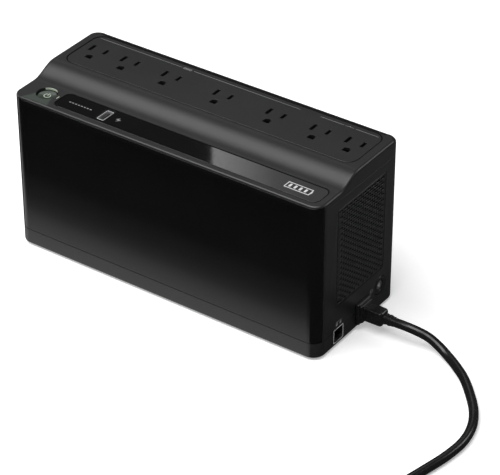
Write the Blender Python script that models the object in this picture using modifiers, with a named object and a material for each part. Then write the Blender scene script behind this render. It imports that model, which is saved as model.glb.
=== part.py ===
"""Seven-outlet desktop uninterruptible power supply, modelled as its real pieces.

Frame: +X along the long side towards the cord, -Y out of the glossy front, +Z up.
The origin is under the middle of the case, on the surface that the feet stand on.
Lengths below are millimetres; the helpers turn them into Blender's metres.
"""
import math

import bmesh
import bpy
from mathutils import Matrix, Vector

MM = 0.001
GAP = 0.3             # clearance between pieces that touch

# ---- driving dimensions -------------------------------------------------------------
WIDTH = 274.0         # case, along X
DEPTH = 105.0         # case, along Y
HEIGHT = 139.0        # floor to the outlet deck
LEDGE = 131.5         # height of the low ledge along the front
CORNER = 10.0         # vertical corner radius
WALL = 2.5
EDGE_FRONT = 1.5      # rounding of the top edge: tight in front, fuller at the rear
EDGE_SIDE = 2.5
EDGE_REAR = 6.5
SEAM = 126.0          # top of the housing, where the cover starts
CASE_FOOT = 2.0       # the case stands this far off the floor
S_FRONT, S_REAR = -26.5, -3.0     # the S-curve between ledge and deck, in Y

HALF_W, HALF_D = WIDTH / 2, DEPTH / 2
IN_X = HALF_W - WALL              # inner faces of the housing walls
IN_FRONT = -HALF_D + 5.7
IN_REAR = HALF_D - WALL
IN_CORNER = CORNER - WALL

PANEL_X = 131.0       # half width of the glossy front panel
PANEL_Z = (15.0, 129.6)
PANEL_BACK = -HALF_D + 2.6

OUTLET_X = (-115.2, -85.5, -47.0, 0.0, 47.0, 85.5, 115.2)
BACKUP_OUTLETS = 5    # the rest only filter surges
SLOT_Y = 26.0         # row of blade slots
SLOT_HALF_PITCH = 6.35
GROUND_Y = SLOT_Y - 11.9
GROUND_R = 2.75
PLATE = (-129.0, 129.0, -1.0, 45.0)
PLATE_RADIUS = 9.0
PLATE_Z = (136.5, HEIGHT)

WINDOW = (-102.0, 130.0, -47.0, -27.5)
WINDOW_RADIUS = 5.0
WINDOW_Z = (130.2, LEDGE - 0.1)

BUTTON_XY = (-115.0, -37.0)
BUTTON_R = 7.6
BUTTON_TOP = 129.8
LIGHT_XY = (-104.9, -37.0)
USB_XY = (-61.0, -36.5)
BOARD_TOP = 114.6     # control board under the ledge

VENT_Y = (-29.0, 33.0)
VENT_Z = (36.0, 118.0)
JACK_YZ = (-25.0, 10.4)
JACK_HALF = (6.7, 6.5)
INLET_YZ = (6.0, 14.0)
BREAKER_YZ = (30.0, 21.5)
BREAKER_R = 7.6
KEYHOLE_X = (-76.0, 76.0)
KEYHOLE_Z = 82.0
SCREW_XY = ((-129.0, -41.5), (129.0, -41.5), (-129.0, 44.5), (129.0, 44.5))

BATTERY = ((-127.0, 24.0), (-32.0, 33.0), (5.4, 99.4))
DOOR_X = (-130.0, 26.0)
DOOR_Y = (-34.0, 35.0)
DOOR_TRAVEL = 10.0
DOOR_LIP = 1.2        # how far the door's tongues reach into their grooves

CORD_R = 3.5
CORD_Z = CORD_R + 0.2
RELIEF_END = 165.0
COIL_XY = (300.0, -205.0)
COIL_TURN_R = (38.5, 45.5)        # centreline radii of the inner and outer turns
COIL_Z = (1.2, 22.2)
# the loose stretch of the cord, as points on its centreline
CORD_ROUTE = (
    (RELIEF_END + GAP, 6.0, 14.0), (180.0, 6.4, 13.8), (192.0, 8.2, 10.8), (202.0, 7.6, 6.9),
    (211.0, 4.6, 4.3), (221.0, -1.2, CORD_Z), (234.0, -11.0, CORD_Z), (247.0, -24.5, CORD_Z),
    (258.5, -39.0, CORD_Z), (266.5, -55.0, CORD_Z), (270.0, -73.0, CORD_Z), (268.5, -93.0, CORD_Z),
    (264.0, -114.0, CORD_Z), (259.0, -136.0, CORD_Z), (255.6, -158.0, CORD_Z), (254.5, -179.2, CORD_Z),
)

# ---- scene and materials -------------------------------------------------------------
for old in list(bpy.data.objects):
    bpy.data.objects.remove(old, do_unlink=True)


def new_collection(name):
    collection = bpy.data.collections.new(name)
    bpy.context.scene.collection.children.link(collection)
    return collection


PARTS = new_collection("desktop_ups")
CUTTERS = new_collection("cutters")


def finish_material(name, colour, roughness, metallic=0.0):
    material = bpy.data.materials.new(name)
    material.use_nodes = True
    shader = material.node_tree.nodes["Principled BSDF"]
    shader.inputs["Base Color"].default_value = (*colour, 1.0)
    shader.inputs["Roughness"].default_value = roughness
    shader.inputs["Metallic"].default_value = metallic
    return material


MATTE = finish_material("case_matte", (0.03, 0.03, 0.032), 0.55)
GLOSS = finish_material("panel_gloss", (0.006, 0.006, 0.007), 0.06)
WINDOW_TINT = finish_material("window_tint", (0.008, 0.009, 0.01), 0.08)
BUTTON_TINT = finish_material("button_tint", (0.012, 0.03, 0.02), 0.2)
LENS = finish_material("light_lens", (0.35, 0.6, 0.4), 0.2)
NYLON = finish_material("socket_nylon", (0.02, 0.02, 0.02), 0.6)
BRASS = finish_material("contact_brass", (0.75, 0.55, 0.22), 0.3, 1.0)
STEEL = finish_material("plated_steel", (0.62, 0.62, 0.64), 0.28, 1.0)
LAMINATION = finish_material("lamination_steel", (0.22, 0.21, 0.2), 0.45, 0.8)
COPPER = finish_material("winding_tape", (0.45, 0.32, 0.06), 0.5)
BOARD = finish_material("circuit_board", (0.02, 0.12, 0.05), 0.45)
ALUMINIUM = finish_material("heat_sink", (0.55, 0.56, 0.58), 0.4, 1.0)
COMPONENT = finish_material("component_dark", (0.03, 0.03, 0.035), 0.4)
BATTERY_CASE = finish_material("battery_case", (0.05, 0.05, 0.055), 0.5)
RED_LEAD = finish_material("lead_red", (0.5, 0.02, 0.02), 0.4)
BLACK_LEAD = finish_material("lead_black", (0.015, 0.015, 0.015), 0.4)
CORD_PVC = finish_material("cord_pvc", (0.012, 0.012, 0.013), 0.3)
RUBBER = finish_material("foot_rubber", (0.02, 0.02, 0.02), 0.85)
TIE = finish_material("cord_tie", (0.03, 0.03, 0.03), 0.7)


# ---- modelling helpers ---------------------------------------------------------------
def new_object(name, bm, material, origin=(0.0, 0.0, 0.0)):
    """Store a bmesh given in millimetres as an object; a None material makes a cutter."""
    bmesh.ops.recalc_face_normals(bm, faces=bm.faces)
    bmesh.ops.translate(bm, verts=bm.verts, vec=-Vector(origin))
    bmesh.ops.scale(bm, verts=bm.verts, vec=(MM, MM, MM))
    mesh = bpy.data.meshes.new(name)
    bm.to_mesh(mesh)
    bm.free()
    obj = bpy.data.objects.new(name, mesh)
    obj.location = Vector(origin) * MM
    if material is None:
        CUTTERS.objects.link(obj)
        obj.hide_render = True
        obj.display_type = "WIRE"
    else:
        mesh.materials.append(material)
        PARTS.objects.link(obj)
    return obj


def add_box(bm, x, y, z):
    centre = ((x[0] + x[1]) / 2, (y[0] + y[1]) / 2, (z[0] + z[1]) / 2)
    size = (x[1] - x[0], y[1] - y[0], z[1] - z[0])
    matrix = Matrix.Translation(centre) @ Matrix.Diagonal((*size, 1.0))
    bmesh.ops.create_cube(bm, size=1.0, matrix=matrix)


def add_cylinder(bm, axis, centre, radius, span, sides=24):
    """A cylinder along one axis; centre is the two other coordinates, in X, Y, Z order."""
    turn = {"X": Matrix.Rotation(math.pi / 2, 4, "Y"), "Y": Matrix.Rotation(math.pi / 2, 4, "X"),
            "Z": Matrix.Identity(4)}[axis]
    middle = (span[0] + span[1]) / 2
    place = list(centre)
    place.insert("XYZ".index(axis), middle)
    bmesh.ops.create_cone(bm, cap_ends=True, segments=sides, radius1=radius, radius2=radius,
                          depth=span[1] - span[0], matrix=Matrix.Translation(place) @ turn)


def boxes(name, material, *spans):
    bm = bmesh.new()
    for x, y, z in spans:
        add_box(bm, x, y, z)
    return new_object(name, bm, material)


def cylinders(name, material, axis, centres, radius, span, sides=24):
    bm = bmesh.new()
    for centre in centres:
        add_cylinder(bm, axis, centre, radius, span, sides)
    return new_object(name, bm, material)


def around(centre, half):
    return (centre - half, centre + half)


def rounded_rect(x0, x1, y0, y1, radius, steps=5, inset=0.0):
    """Anticlockwise outline of a rectangle with round corners."""
    radius = max(radius - inset, 0.01)
    corners = ((x1, y0, -90), (x1, y1, 0), (x0, y1, 90), (x0, y0, 180))
    points = []
    for x, y, start in corners:
        cx = x - math.copysign(radius + inset, x - (x0 + x1) / 2)
        cy = y - math.copysign(radius + inset, y - (y0 + y1) / 2)
        for step in range(steps + 1):
            angle = math.radians(start + 90 * step / steps)
            points.append((cx + radius * math.cos(angle), cy + radius * math.sin(angle)))
    return points


def loft(name, material, rings):
    """Skin a stack of rings that have the same number of 3-D points, and cap both ends."""
    bm = bmesh.new()
    loops = [[bm.verts.new(point) for point in ring] for ring in rings]
    for low, high in zip(loops, loops[1:]):
        for i in range(len(low)):
            j = (i + 1) % len(low)
            bm.faces.new((low[i], low[j], high[j], high[i]))
    bm.faces.new(loops[0][::-1])
    bm.faces.new(loops[-1])
    return new_object(name, bm, material)


def slab(name, material, rect, z, radius, top_edge=0.0, bottom_edge=0.0, steps=5):
    """A flat plate with a rounded-rectangle outline and optional edge chamfers."""
    levels = [(z[0], bottom_edge)]
    if bottom_edge:
        levels.append((z[0] + bottom_edge, 0.0))
    if top_edge:
        levels.append((z[1] - top_edge, 0.0))
    levels.append((z[1], top_edge))
    rings = []
    for height, inset in levels:
        outline = rounded_rect(*rect, radius, steps, inset)
        rings.append([(px, py, height) for px, py in outline])
    return loft(name, material, rings)


def section_loft(name, material, axis, stations, steps=3):
    """Loft rounded-rectangle sections along X or Y.

    A station is (place on the axis, centre u, centre z, half u, half z, corner radius),
    where u is the other horizontal axis.
    """
    rings = []
    for place, cu, cz, hu, hz, radius in stations:
        outline = rounded_rect(cu - hu, cu + hu, cz - hz, cz + hz, radius, steps)
        if axis == "X":
            rings.append([(place, u, w) for u, w in outline])
        else:
            rings.append([(u, place, w) for u, w in outline])
    return loft(name, material, rings)


def turned(name, material, profile, origin, steps=32, axis="Z"):
    """Turn a profile of (radius, height) points about an axis through origin."""
    bm = bmesh.new()
    verts = [bm.verts.new((radius * MM, 0.0, height * MM)) for radius, height in profile]
    closed = profile[0][0] > 0 and profile[-1][0] > 0
    pairs = list(zip(verts, verts[1:]))
    if closed:
        pairs.append((verts[-1], verts[0]))
    for start, end in pairs:
        bm.edges.new((start, end))
    mesh = bpy.data.meshes.new(name)
    bm.to_mesh(mesh)
    bm.free()
    mesh.materials.append(material)
    obj = bpy.data.objects.new(name, mesh)
    PARTS.objects.link(obj)
    obj.location = Vector(origin) * MM
    if axis == "X":
        obj.rotation_euler = (0.0, math.pi / 2, 0.0)
    screw = obj.modifiers.new("turn", "SCREW")
    screw.steps = steps
    screw.render_steps = steps
    screw.use_merge_vertices = True
    screw.merge_threshold = 0.00001
    screw.use_smooth_shade = True
    return obj


def boolean(target, tool, operation):
    modifier = target.modifiers.new(operation.lower(), "BOOLEAN")
    modifier.operation = operation
    modifier.object = tool
    modifier.solver = "EXACT"


def cut(target, *tools):
    for tool in tools:
        boolean(target, tool, "DIFFERENCE")


def fuse(target, *tools):
    for tool in tools:
        boolean(target, tool, "UNION")


def bevelled(obj, width, segments=2):
    modifier = obj.modifiers.new("rounded edges", "BEVEL")
    modifier.width = width * MM
    modifier.segments = segments
    modifier.limit_method = "ANGLE"
    modifier.angle_limit = math.radians(40)
    return obj


def smooth_curve(points, spacing):
    """Points about spacing apart on a smooth curve through the given points."""
    knots = [Vector(point) for point in points]
    ends = [knots[0] * 2 - knots[1]] + knots + [knots[-1] * 2 - knots[-2]]
    dense = []
    for a, b, c, d in zip(ends, ends[1:], ends[2:], ends[3:]):
        for step in range(20):
            t = step / 20
            dense.append(0.5 * (2 * b + (c - a) * t + (2 * a - 5 * b + 4 * c - d) * t * t
                                + (3 * b - a - 3 * c + d) * t ** 3))
    dense.append(knots[-1])
    total = sum((b - a).length for a, b in zip(dense, dense[1:]))
    count = max(2, round(total / spacing))
    picked, walked, target = [dense[0]], 0.0, total / count
    for a, b in zip(dense, dense[1:]):
        step = (b - a).length
        while walked + step >= target - 1e-6 and len(picked) < count:
            picked.append(a.lerp(b, (target - walked) / step))
            target += total / count
        walked += step
    picked.append(dense[-1])
    return picked


def tube(name, material, points, radius, spacing, resolution=2):
    """A round tube with filled caps along a smooth curve through the points."""
    path = smooth_curve(points, spacing)
    curve = bpy.data.curves.new(name, "CURVE")
    curve.dimensions = "3D"
    curve.bevel_depth = radius * MM
    curve.bevel_resolution = resolution
    curve.use_fill_caps = True
    spline = curve.splines.new("POLY")
    spline.points.add(len(path) - 1)
    for slot, point in zip(spline.points, path):
        slot.co = (*(point * MM), 1.0)
    curve.materials.append(material)
    obj = bpy.data.objects.new(name, curve)
    PARTS.objects.link(obj)
    return obj


def tube_mesh(name, material, points, radius, spacing):
    """The same tube as one closed mesh, so that it can be joined to other pieces."""
    curve_obj = tube(name + "_curve", material, points, radius, spacing)
    evaluated = curve_obj.evaluated_get(bpy.context.evaluated_depsgraph_get())
    mesh = bpy.data.meshes.new_from_object(evaluated)
    bm = bmesh.new()
    bm.from_mesh(mesh)
    bmesh.ops.remove_doubles(bm, verts=bm.verts, dist=0.00001)
    bmesh.ops.recalc_face_normals(bm, faces=bm.faces)
    bm.to_mesh(mesh)
    bm.free()
    obj = bpy.data.objects.new(name, mesh)
    obj.matrix_world = curve_obj.matrix_world
    PARTS.objects.link(obj)
    bpy.data.objects.remove(curve_obj, do_unlink=True)
    return obj


# ---- case ------------------------------------------------------------------------------
def crown(y):
    """Height of the top surface: low ledge, S-curve, then the outlet deck."""
    t = min(max((y - S_FRONT) / (S_REAR - S_FRONT), 0.0), 1.0)
    return LEDGE + (HEIGHT - LEDGE) * t * t * (3 - 2 * t)


def cover_ring(swing, side_y, steps=6):
    """Plan points (x, y, drop) of the cover, swing radians up its rounded top edge."""
    cx, cy = HALF_W - CORNER, HALF_D - CORNER
    half = []
    for step in range(steps + 1):
        share = step / steps
        angle = math.radians(90 * share)
        edge = EDGE_FRONT + (EDGE_SIDE - EDGE_FRONT) * share
        reach = CORNER - edge * (1 - math.cos(swing))
        drop = edge * (1 - math.sin(swing))
        half.append((cx + reach * math.sin(angle), -cy - reach * math.cos(angle), drop))
    inset = EDGE_SIDE * (1 - math.cos(swing))
    half += [(HALF_W - inset, y, EDGE_SIDE * (1 - math.sin(swing))) for y in side_y]
    for step in range(steps + 1):
        share = step / steps
        angle = math.radians(90 * share)
        edge = EDGE_SIDE + (EDGE_REAR - EDGE_SIDE) * share
        reach = CORNER - edge * (1 - math.cos(swing))
        drop = edge * (1 - math.sin(swing))
        half.append((cx + reach * math.cos(angle), cy + reach * math.sin(angle), drop))
    return half + [(-x, y, drop) for x, y, drop in reversed(half)]


def cover_form():
    """The cover's outer form: plan outline, S-shaped crown and a rounded top edge."""
    s_steps, edge_steps = 9, 4
    side_y = [S_FRONT + (S_REAR - S_FRONT) * i / s_steps for i in range(s_steps + 1)]
    bm = bmesh.new()
    foot = [(x, y, SEAM + GAP) for x, y, _ in cover_ring(0.0, side_y)]
    rings = [foot]
    for step in range(edge_steps + 1):
        ring = cover_ring(math.radians(90 * step / edge_steps), side_y)
        rings.append([(x, y, crown(y) - drop) for x, y, drop in ring])
    loops = [[bm.verts.new(point) for point in ring] for ring in rings]
    count = len(foot)
    for low, high in zip(loops, loops[1:]):
        for i in range(count):
            j = (i + 1) % count
            bm.faces.new((low[i], low[j], high[j], high[i]))
    bm.faces.new(loops[0][::-1])
    top = loops[-1]
    for i in range(count // 2 - 1):
        bm.faces.new((top[i], top[i + 1], top[count - 2 - i], top[count - 1 - i]))
    return new_object("top_cover", bm, MATTE)


def top_cover():
    cover = cover_form()
    ceiling = LEDGE - 3.5
    inner = (-IN_X, IN_X, IN_FRONT, IN_REAR)
    cut(cover, slab("cover_cavity", None, inner, (SEAM - 5, ceiling), IN_CORNER))
    deck = (-IN_X, IN_X, S_REAR + 1, IN_REAR)
    cut(cover, slab("deck_cavity", None, deck, (ceiling - 1, 133.4), IN_CORNER))
    cut(cover, boxes("panel_rebate", None, (around(0.0, PANEL_X + GAP), (-HALF_D - 1, PANEL_BACK + GAP),
                                            (SEAM - 1, PANEL_Z[1] + GAP))))
    x0, x1, y0, y1 = PLATE
    pocket = (x0 - GAP, x1 + GAP, y0 - GAP, y1 + GAP)
    cut(cover, slab("plate_pocket", None, pocket, (PLATE_Z[0] - GAP, HEIGHT + 1), PLATE_RADIUS + GAP))
    x0, x1, y0, y1 = WINDOW
    recess = (x0 - GAP, x1 + GAP, y0 - GAP, y1 + GAP)
    cut(cover, slab("window_recess", None, recess, (WINDOW_Z[0] - GAP, LEDGE + 1), WINDOW_RADIUS + GAP))
    # cable bosses that carry the control board
    fuse(cover, cylinders("board_bosses", None, "Z", ((-98.0, -31.0), (-78.0, -42.0)), 2.5,
                          (BOARD_TOP + GAP, ceiling + 1), 12))
    through = (ceiling - 3, HEIGHT + 1)
    cut(cover, boxes("cover_openings", None,
                     ((-125.6, 125.6), (5.0, 36.5), (ceiling + 3, PLATE_Z[0])),
                     (around(USB_XY[0], 3.7), around(USB_XY[1], 7.4), through),
                     (around(LIGHT_XY[0], 0.8), around(LIGHT_XY[1], 2.1), through)))
    cut(cover, cylinders("button_hole", None, "Z", (BUTTON_XY,), BUTTON_R + 0.4, through, 32))


def housing():
    outer = (-HALF_W, HALF_W, -HALF_D, HALF_D)
    shell = slab("housing", MATTE, outer, (CASE_FOOT, SEAM), CORNER, bottom_edge=1.0, steps=6)
    inner = (-IN_X, IN_X, IN_FRONT, IN_REAR)
    cut(shell, slab("housing_cavity", None, inner, (-1, SEAM + 1), IN_CORNER))
    fuse(shell, cylinders("screw_posts", None, "Z", SCREW_XY, 5.0, (7.8, 40.0), 16))
    cut(shell, cylinders("post_bores", None, "Z", SCREW_XY, 1.5, (7.0, 24.0), 12))
    vent_y = (VENT_Y[0] - GAP, VENT_Y[1] + GAP)
    vent_z = (VENT_Z[0] - GAP, VENT_Z[1] + GAP)
    jack_y = around(JACK_YZ[0], JACK_HALF[0] + GAP)
    jack_z = around(JACK_YZ[1], JACK_HALF[1] + GAP)
    keyhole_slots = [(around(x, 2.3), (IN_REAR - 1, HALF_D + 1), (KEYHOLE_Z, KEYHOLE_Z + 11))
                     for x in KEYHOLE_X]
    cut(shell, boxes("housing_openings", None,
                     (around(0.0, PANEL_X + GAP), (-HALF_D - 1, PANEL_BACK + GAP),
                      (PANEL_Z[0] - GAP, SEAM + 1)),
                     ((IN_X - 1, HALF_W + 1), vent_y, vent_z),
                     ((-HALF_W - 1, -IN_X + 1), vent_y, vent_z),
                     ((IN_X - 1, HALF_W + 1), jack_y, jack_z)))
    cut(shell, boxes("keyhole_slots", None, *keyhole_slots))
    cut(shell, cylinders("keyhole_heads", None, "Y", [(x, KEYHOLE_Z) for x in KEYHOLE_X], 4.5,
                         (IN_REAR - 1, HALF_D + 1), 20))
    cut(shell, cylinders("inlet_hole", None, "X", (INLET_YZ,), 5.8, (IN_X - 1, HALF_W + 1)))
    cut(shell, cylinders("breaker_hole", None, "X", (BREAKER_YZ,), BREAKER_R + GAP,
                         (IN_X - 1, HALF_W + 1)))


def front_panel():
    outer = (-HALF_W, HALF_W, -HALF_D, HALF_D)
    panel = slab("front_panel", GLOSS, outer, PANEL_Z, CORNER, steps=6)
    window = boxes("panel_limits", None,
                   ((-PANEL_X, PANEL_X), (-HALF_D - 1, PANEL_BACK), (PANEL_Z[0] - 1, PANEL_Z[1] + 1)))
    boolean(panel, window, "INTERSECT")


def vent_grille(name, side):
    """Snap-in side grille with staggered slots; side is +1 on the right, -1 on the left."""
    def across(inner, outer):
        return (inner, outer) if side > 0 else (-outer, -inner)

    grille = boxes(name, MATTE, (across(HALF_W - 2.3, HALF_W), VENT_Y, VENT_Z))
    lip_y = (VENT_Y[0] - 3, VENT_Y[1] + 3)
    lip_z = (VENT_Z[0] - 3, VENT_Z[1] + 3)
    fuse(grille, boxes(name + "_neck", None, (across(IN_X - 1, HALF_W - 1), VENT_Y, VENT_Z)),
         boxes(name + "_lip", None, (across(IN_X - 2.2, IN_X - GAP), lip_y, lip_z)))
    back_y = (VENT_Y[0] + 2.5, VENT_Y[1] - 2.5)
    back_z = (VENT_Z[0] + 2.5, VENT_Z[1] - 2.5)
    cut(grille, boxes(name + "_back", None, (across(IN_X - 4, IN_X + 0.6), back_y, back_z)))
    rows, slot_length, slot_height, pitch = 11, 8.4, 2.6, 11.6
    row_pitch = (back_z[1] - back_z[0]) / rows
    slots = []
    for row in range(rows):
        z = back_z[0] + row_pitch * (row + 0.5)
        in_row = 4 + row % 2
        for column in range(in_row):
            y = (back_y[0] + back_y[1]) / 2 + pitch * (column - (in_row - 1) / 2)
            half_length = slot_length / 2 if in_row == 4 else slot_length / 2 - 2.2
            slots.append((across(IN_X - 1, HALF_W + 1), around(y, half_length),
                          around(z, slot_height / 2)))
    cut(grille, boxes(name + "_slots", None, *slots))


def base_pan():
    pan_z = (2.3, 7.3)
    rect = (-IN_X + GAP, IN_X - GAP, IN_FRONT + GAP, IN_REAR - GAP)
    pan = slab("base_pan", MATTE, rect, pan_z, IN_CORNER - GAP)
    bay = ((BATTERY[0][0] - 0.8, BATTERY[0][1] + 0.8), (BATTERY[1][0] - 0.8, BATTERY[1][1] + 0.8))
    run_x = (DOOR_X[0] - GAP, DOOR_X[1] + DOOR_TRAVEL + 0.7)
    low_y = (DOOR_Y[0] - GAP, DOOR_Y[1] + GAP)
    groove_y = (low_y[0] - DOOR_LIP, low_y[1] + DOOR_LIP)
    fuse(pan, cylinders("board_posts", None, "Z", ((32.5, -41.0), (108.0, -41.0), (108.0, -6.0),
                                                   (32.5, -6.0)), 2.5, (6.5, 13.7), 12))
    cut(pan, boxes("battery_bay", None, (*bay, (1.0, 8.5))))
    cut(pan, boxes("door_run", None, (run_x, low_y, (1.0, 5.0))))
    cut(pan, boxes("door_grooves", None, (run_x, groove_y, (3.9, 5.2))))
    cut(pan, boxes("jack_notch", None, ((113.0, 140.0), around(JACK_YZ[0], 8.0), (1.0, 8.5))))
    cut(pan, cylinders("screw_holes", None, "Z", SCREW_XY, 1.7, (1.0, 8.5), 12))
    cut(pan, cylinders("screw_sinks", None, "Z", SCREW_XY, 3.2, (1.0, 4.8), 16))


def battery_door():
    door = boxes("battery_door", MATTE, (DOOR_X, DOOR_Y, (2.4, 4.5)))
    tongues = ((DOOR_X[0], DOOR_X[1]), (DOOR_Y[0] - DOOR_LIP, DOOR_Y[1] + DOOR_LIP), (4.2, 4.9))
    fuse(door, boxes("door_tongues", None, tongues))
    grips = [((x, x + 1.6), (-12.0, 13.0), (1.0, 3.2)) for x in (6.0, 9.5, 13.0, 16.5, 20.0)]
    cut(door, boxes("door_grips", None, *grips))


def feet():
    for index, (x, y) in enumerate(((-114.0, -42.0), (114.0, -42.0), (114.0, 43.0), (-114.0, 43.0))):
        foot = (x - 11.0, x + 11.0, y - 3.4, y + 3.4)
        slab(f"foot_{index + 1}", RUBBER, foot, (0.0, CASE_FOOT), 3.3, bottom_edge=0.4, steps=4)


def case_screws():
    for index, (x, y) in enumerate(SCREW_XY):
        profile = ((0.0, 20.0), (1.2, 20.0), (1.2, 4.4), (2.8, 4.4), (2.8, 3.0), (2.2, 2.5),
                   (0.0, 2.5))
        turned(f"case_screw_{index + 1}", STEEL, profile, (x, y, 0.0), steps=12)


# ---- outlets ------------------------------------------------------------------------------
def outlet_plate():
    plate = slab("outlet_plate", MATTE, PLATE, PLATE_Z, PLATE_RADIUS, top_edge=0.4)
    through = (PLATE_Z[0] - 1, HEIGHT + 1)
    slots = []
    for x in OUTLET_X:
        slots.append((around(x - SLOT_HALF_PITCH, 1.2), around(SLOT_Y, 4.3), through))
        slots.append((around(x + SLOT_HALF_PITCH, 1.1), around(SLOT_Y, 3.5), through))
    cut(plate, boxes("blade_slots", None, *slots))
    for index, x in enumerate(OUTLET_X):
        # an arch: round towards the blade slots, flat on the side away from them
        angles = [math.radians(step) for step in range(0, 181, 20)]
        outline = [(x + GROUND_R * math.cos(a), GROUND_Y + GROUND_R * math.sin(a)) for a in angles]
        outline += [(x - GROUND_R, GROUND_Y - GROUND_R), (x + GROUND_R, GROUND_Y - GROUND_R)]
        rings = [[(px, py, z) for px, py in outline] for z in through]
        cut(plate, loft(f"ground_hole_{index + 1}", None, rings))


def receptacles():
    block_y, block_z = (7.0, 34.0), (113.0, PLATE_Z[0] - GAP)
    for index, x in enumerate(OUTLET_X):
        block = boxes(f"receptacle_{index + 1}", NYLON, (around(x, 10.0), block_y, block_z))
        through = (block_z[0] - 1, block_z[1] + 1)
        cut(block, boxes(f"contact_pockets_{index + 1}", None,
                         (around(x - SLOT_HALF_PITCH, 2.3), (20.5, 32.0), through),
                         (around(x + SLOT_HALF_PITCH, 2.3), (20.5, 32.0), through),
                         (around(x, 3.9), (10.0, 18.2), through)))


def busbar(name, columns, strip_y, leaf_y, leaf_gap, margin=5.0):
    """A flat strip with a pair of upright spring leaves in each contact pocket."""
    strip_z, leaf_top, leaf_thick = (110.0, 111.5), 131.0, 0.8
    run = (min(columns) - margin, max(columns) + margin)
    bar = boxes(name, BRASS, (run, strip_y, strip_z))
    leaves = []
    for x in columns:
        for side in (-1, 1):
            near = x + side * leaf_gap
            far = near + side * leaf_thick
            leaves.append(((min(near, far), max(near, far)), leaf_y, (strip_z[0] + 0.5, leaf_top)))
    fuse(bar, boxes(name + "_leaves", None, *leaves))


def busbars():
    neutral = [x - SLOT_HALF_PITCH for x in OUTLET_X]
    line = [x + SLOT_HALF_PITCH for x in OUTLET_X]
    busbar("busbar_neutral", neutral, (28.3, 35.0), (24.0, 31.0), 1.1)
    busbar("busbar_line_backup", line[:BACKUP_OUTLETS], (17.0, 23.6), (21.2, 27.6), 1.1)
    busbar("busbar_line_surge", line[BACKUP_OUTLETS:], (17.0, 23.6), (21.2, 27.6), 1.1)
    busbar("busbar_ground", list(OUTLET_X), (5.0, 12.0), (10.5, 16.5), 2.9)


# ---- ledge: window, button, light, charging port -------------------------------------------
def status_window():
    window = slab("status_window", WINDOW_TINT, WINDOW, WINDOW_Z, WINDOW_RADIUS, top_edge=0.3)
    cut(window, boxes("window_port", None,
                      (around(USB_XY[0], 3.7), around(USB_XY[1], 7.4), (120.0, LEDGE + 1))))


def power_button():
    top = 0.0
    profile = [(0.0, top - 0.3), (BUTTON_R - 1.4, top - 0.15), (BUTTON_R - 0.5, top),
               (BUTTON_R, top - 0.5), (BUTTON_R, top - 3.4), (BUTTON_R + 1.6, top - 3.4),
               (BUTTON_R + 1.6, top - 4.6), (2.2, top - 4.6), (2.2, top - 8.9), (0.0, top - 8.9)]
    turned("power_button", BUTTON_TINT, profile, (*BUTTON_XY, BUTTON_TOP), steps=36)


def ledge_electronics():
    board = boxes("control_board", BOARD, ((-128.0, -54.0), (-44.5, -26.0), (BOARD_TOP - 1.6, BOARD_TOP)))
    cut(board, cylinders("board_holes", None, "Z", ((-98.0, -31.0), (-78.0, -42.0)), 1.3,
                         (BOARD_TOP - 3, BOARD_TOP + 1), 10))
    x, y = BUTTON_XY
    base = BOARD_TOP + GAP
    switch = boxes("power_switch", COMPONENT, (around(x, 3.0), around(y, 3.0), (base, base + 3.3)))
    fuse(switch, cylinders("switch_plunger", None, "Z", (BUTTON_XY,), 1.7, (base + 2, base + 4.2), 12))
    x, y = LIGHT_XY
    boxes("light_pipe", LENS, (around(x, 0.5), around(y, 1.8), (base, LEDGE - 0.1)))
    x, y = USB_XY
    shell = boxes("usb_shell", STEEL, (around(x, 3.1), around(y, 6.8), (base, LEDGE - 0.6)))
    cut(shell, boxes("usb_cavity", None, (around(x, 2.7), around(y, 6.4), (117.0, LEDGE + 1))))
    boxes("usb_tongue", NYLON, ((x - 1.6, x + 0.2), around(y, 5.7), (117.3, 129.6)))


# ---- battery --------------------------------------------------------------------------------
def battery():
    bevelled(boxes("battery_case", BATTERY_CASE, BATTERY), 1.5)
    top = BATTERY[2][1]
    floor_end = {"battery_lead_pos": -22.0, "battery_lead_neg": -12.0}
    for name, y, material in (("pos", -22.8, RED_LEAD), ("neg", 22.8, BLACK_LEAD)):
        boxes(f"battery_tab_{name}", STEEL,
              ((-119.4, -118.6), around(y, 3.2), (top + GAP, top + 6.6)))
        lead = f"battery_lead_{name}"
        end_y = floor_end[lead]
        route = ((-118.0, y, 105.5), (-100.0, y, 105.0), (-20.0, y, 104.5), (4.0, y, 104.5),
                 (20.0, (y + end_y) / 2, 103.5), (29.5, end_y, 97.0), (31.6, end_y, 80.0),
                 (31.6, end_y, 40.0), (32.5, end_y, 16.2))
        wire = tube_mesh(lead, material, route, 1.3, 12.0)
        fuse(wire, boxes(lead + "_sleeve", None, (around(-119.0, 1.9), around(y, 4.3),
                                                  (top + 0.8, top + 9.0))))
        cut(wire, boxes(lead + "_slot", None, (around(-119.0, 0.8), around(y, 3.6),
                                               (top - 1.0, top + 7.0))))


# ---- power electronics on the base -------------------------------------------------------------
def transformer():
    core = boxes("transformer_core", LAMINATION, ((38.0, 98.0), (8.0, 40.0), (7.6, 60.0)))
    windows_z = (20.0, 50.0)
    cut(core, boxes("core_windows", None, ((48.0, 58.0), (7.0, 41.0), windows_z),
                    ((78.0, 88.0), (7.0, 41.0), windows_z)))
    coil = bevelled(boxes("transformer_winding", COPPER,
                          ((48.3, 87.7), (1.8, 46.2), (windows_z[0] + GAP, windows_z[1] - GAP))), 2.0)
    cut(coil, boxes("winding_core_hole", None, ((57.7, 78.3), (7.7, 40.3), (18.0, 52.0))))


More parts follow.
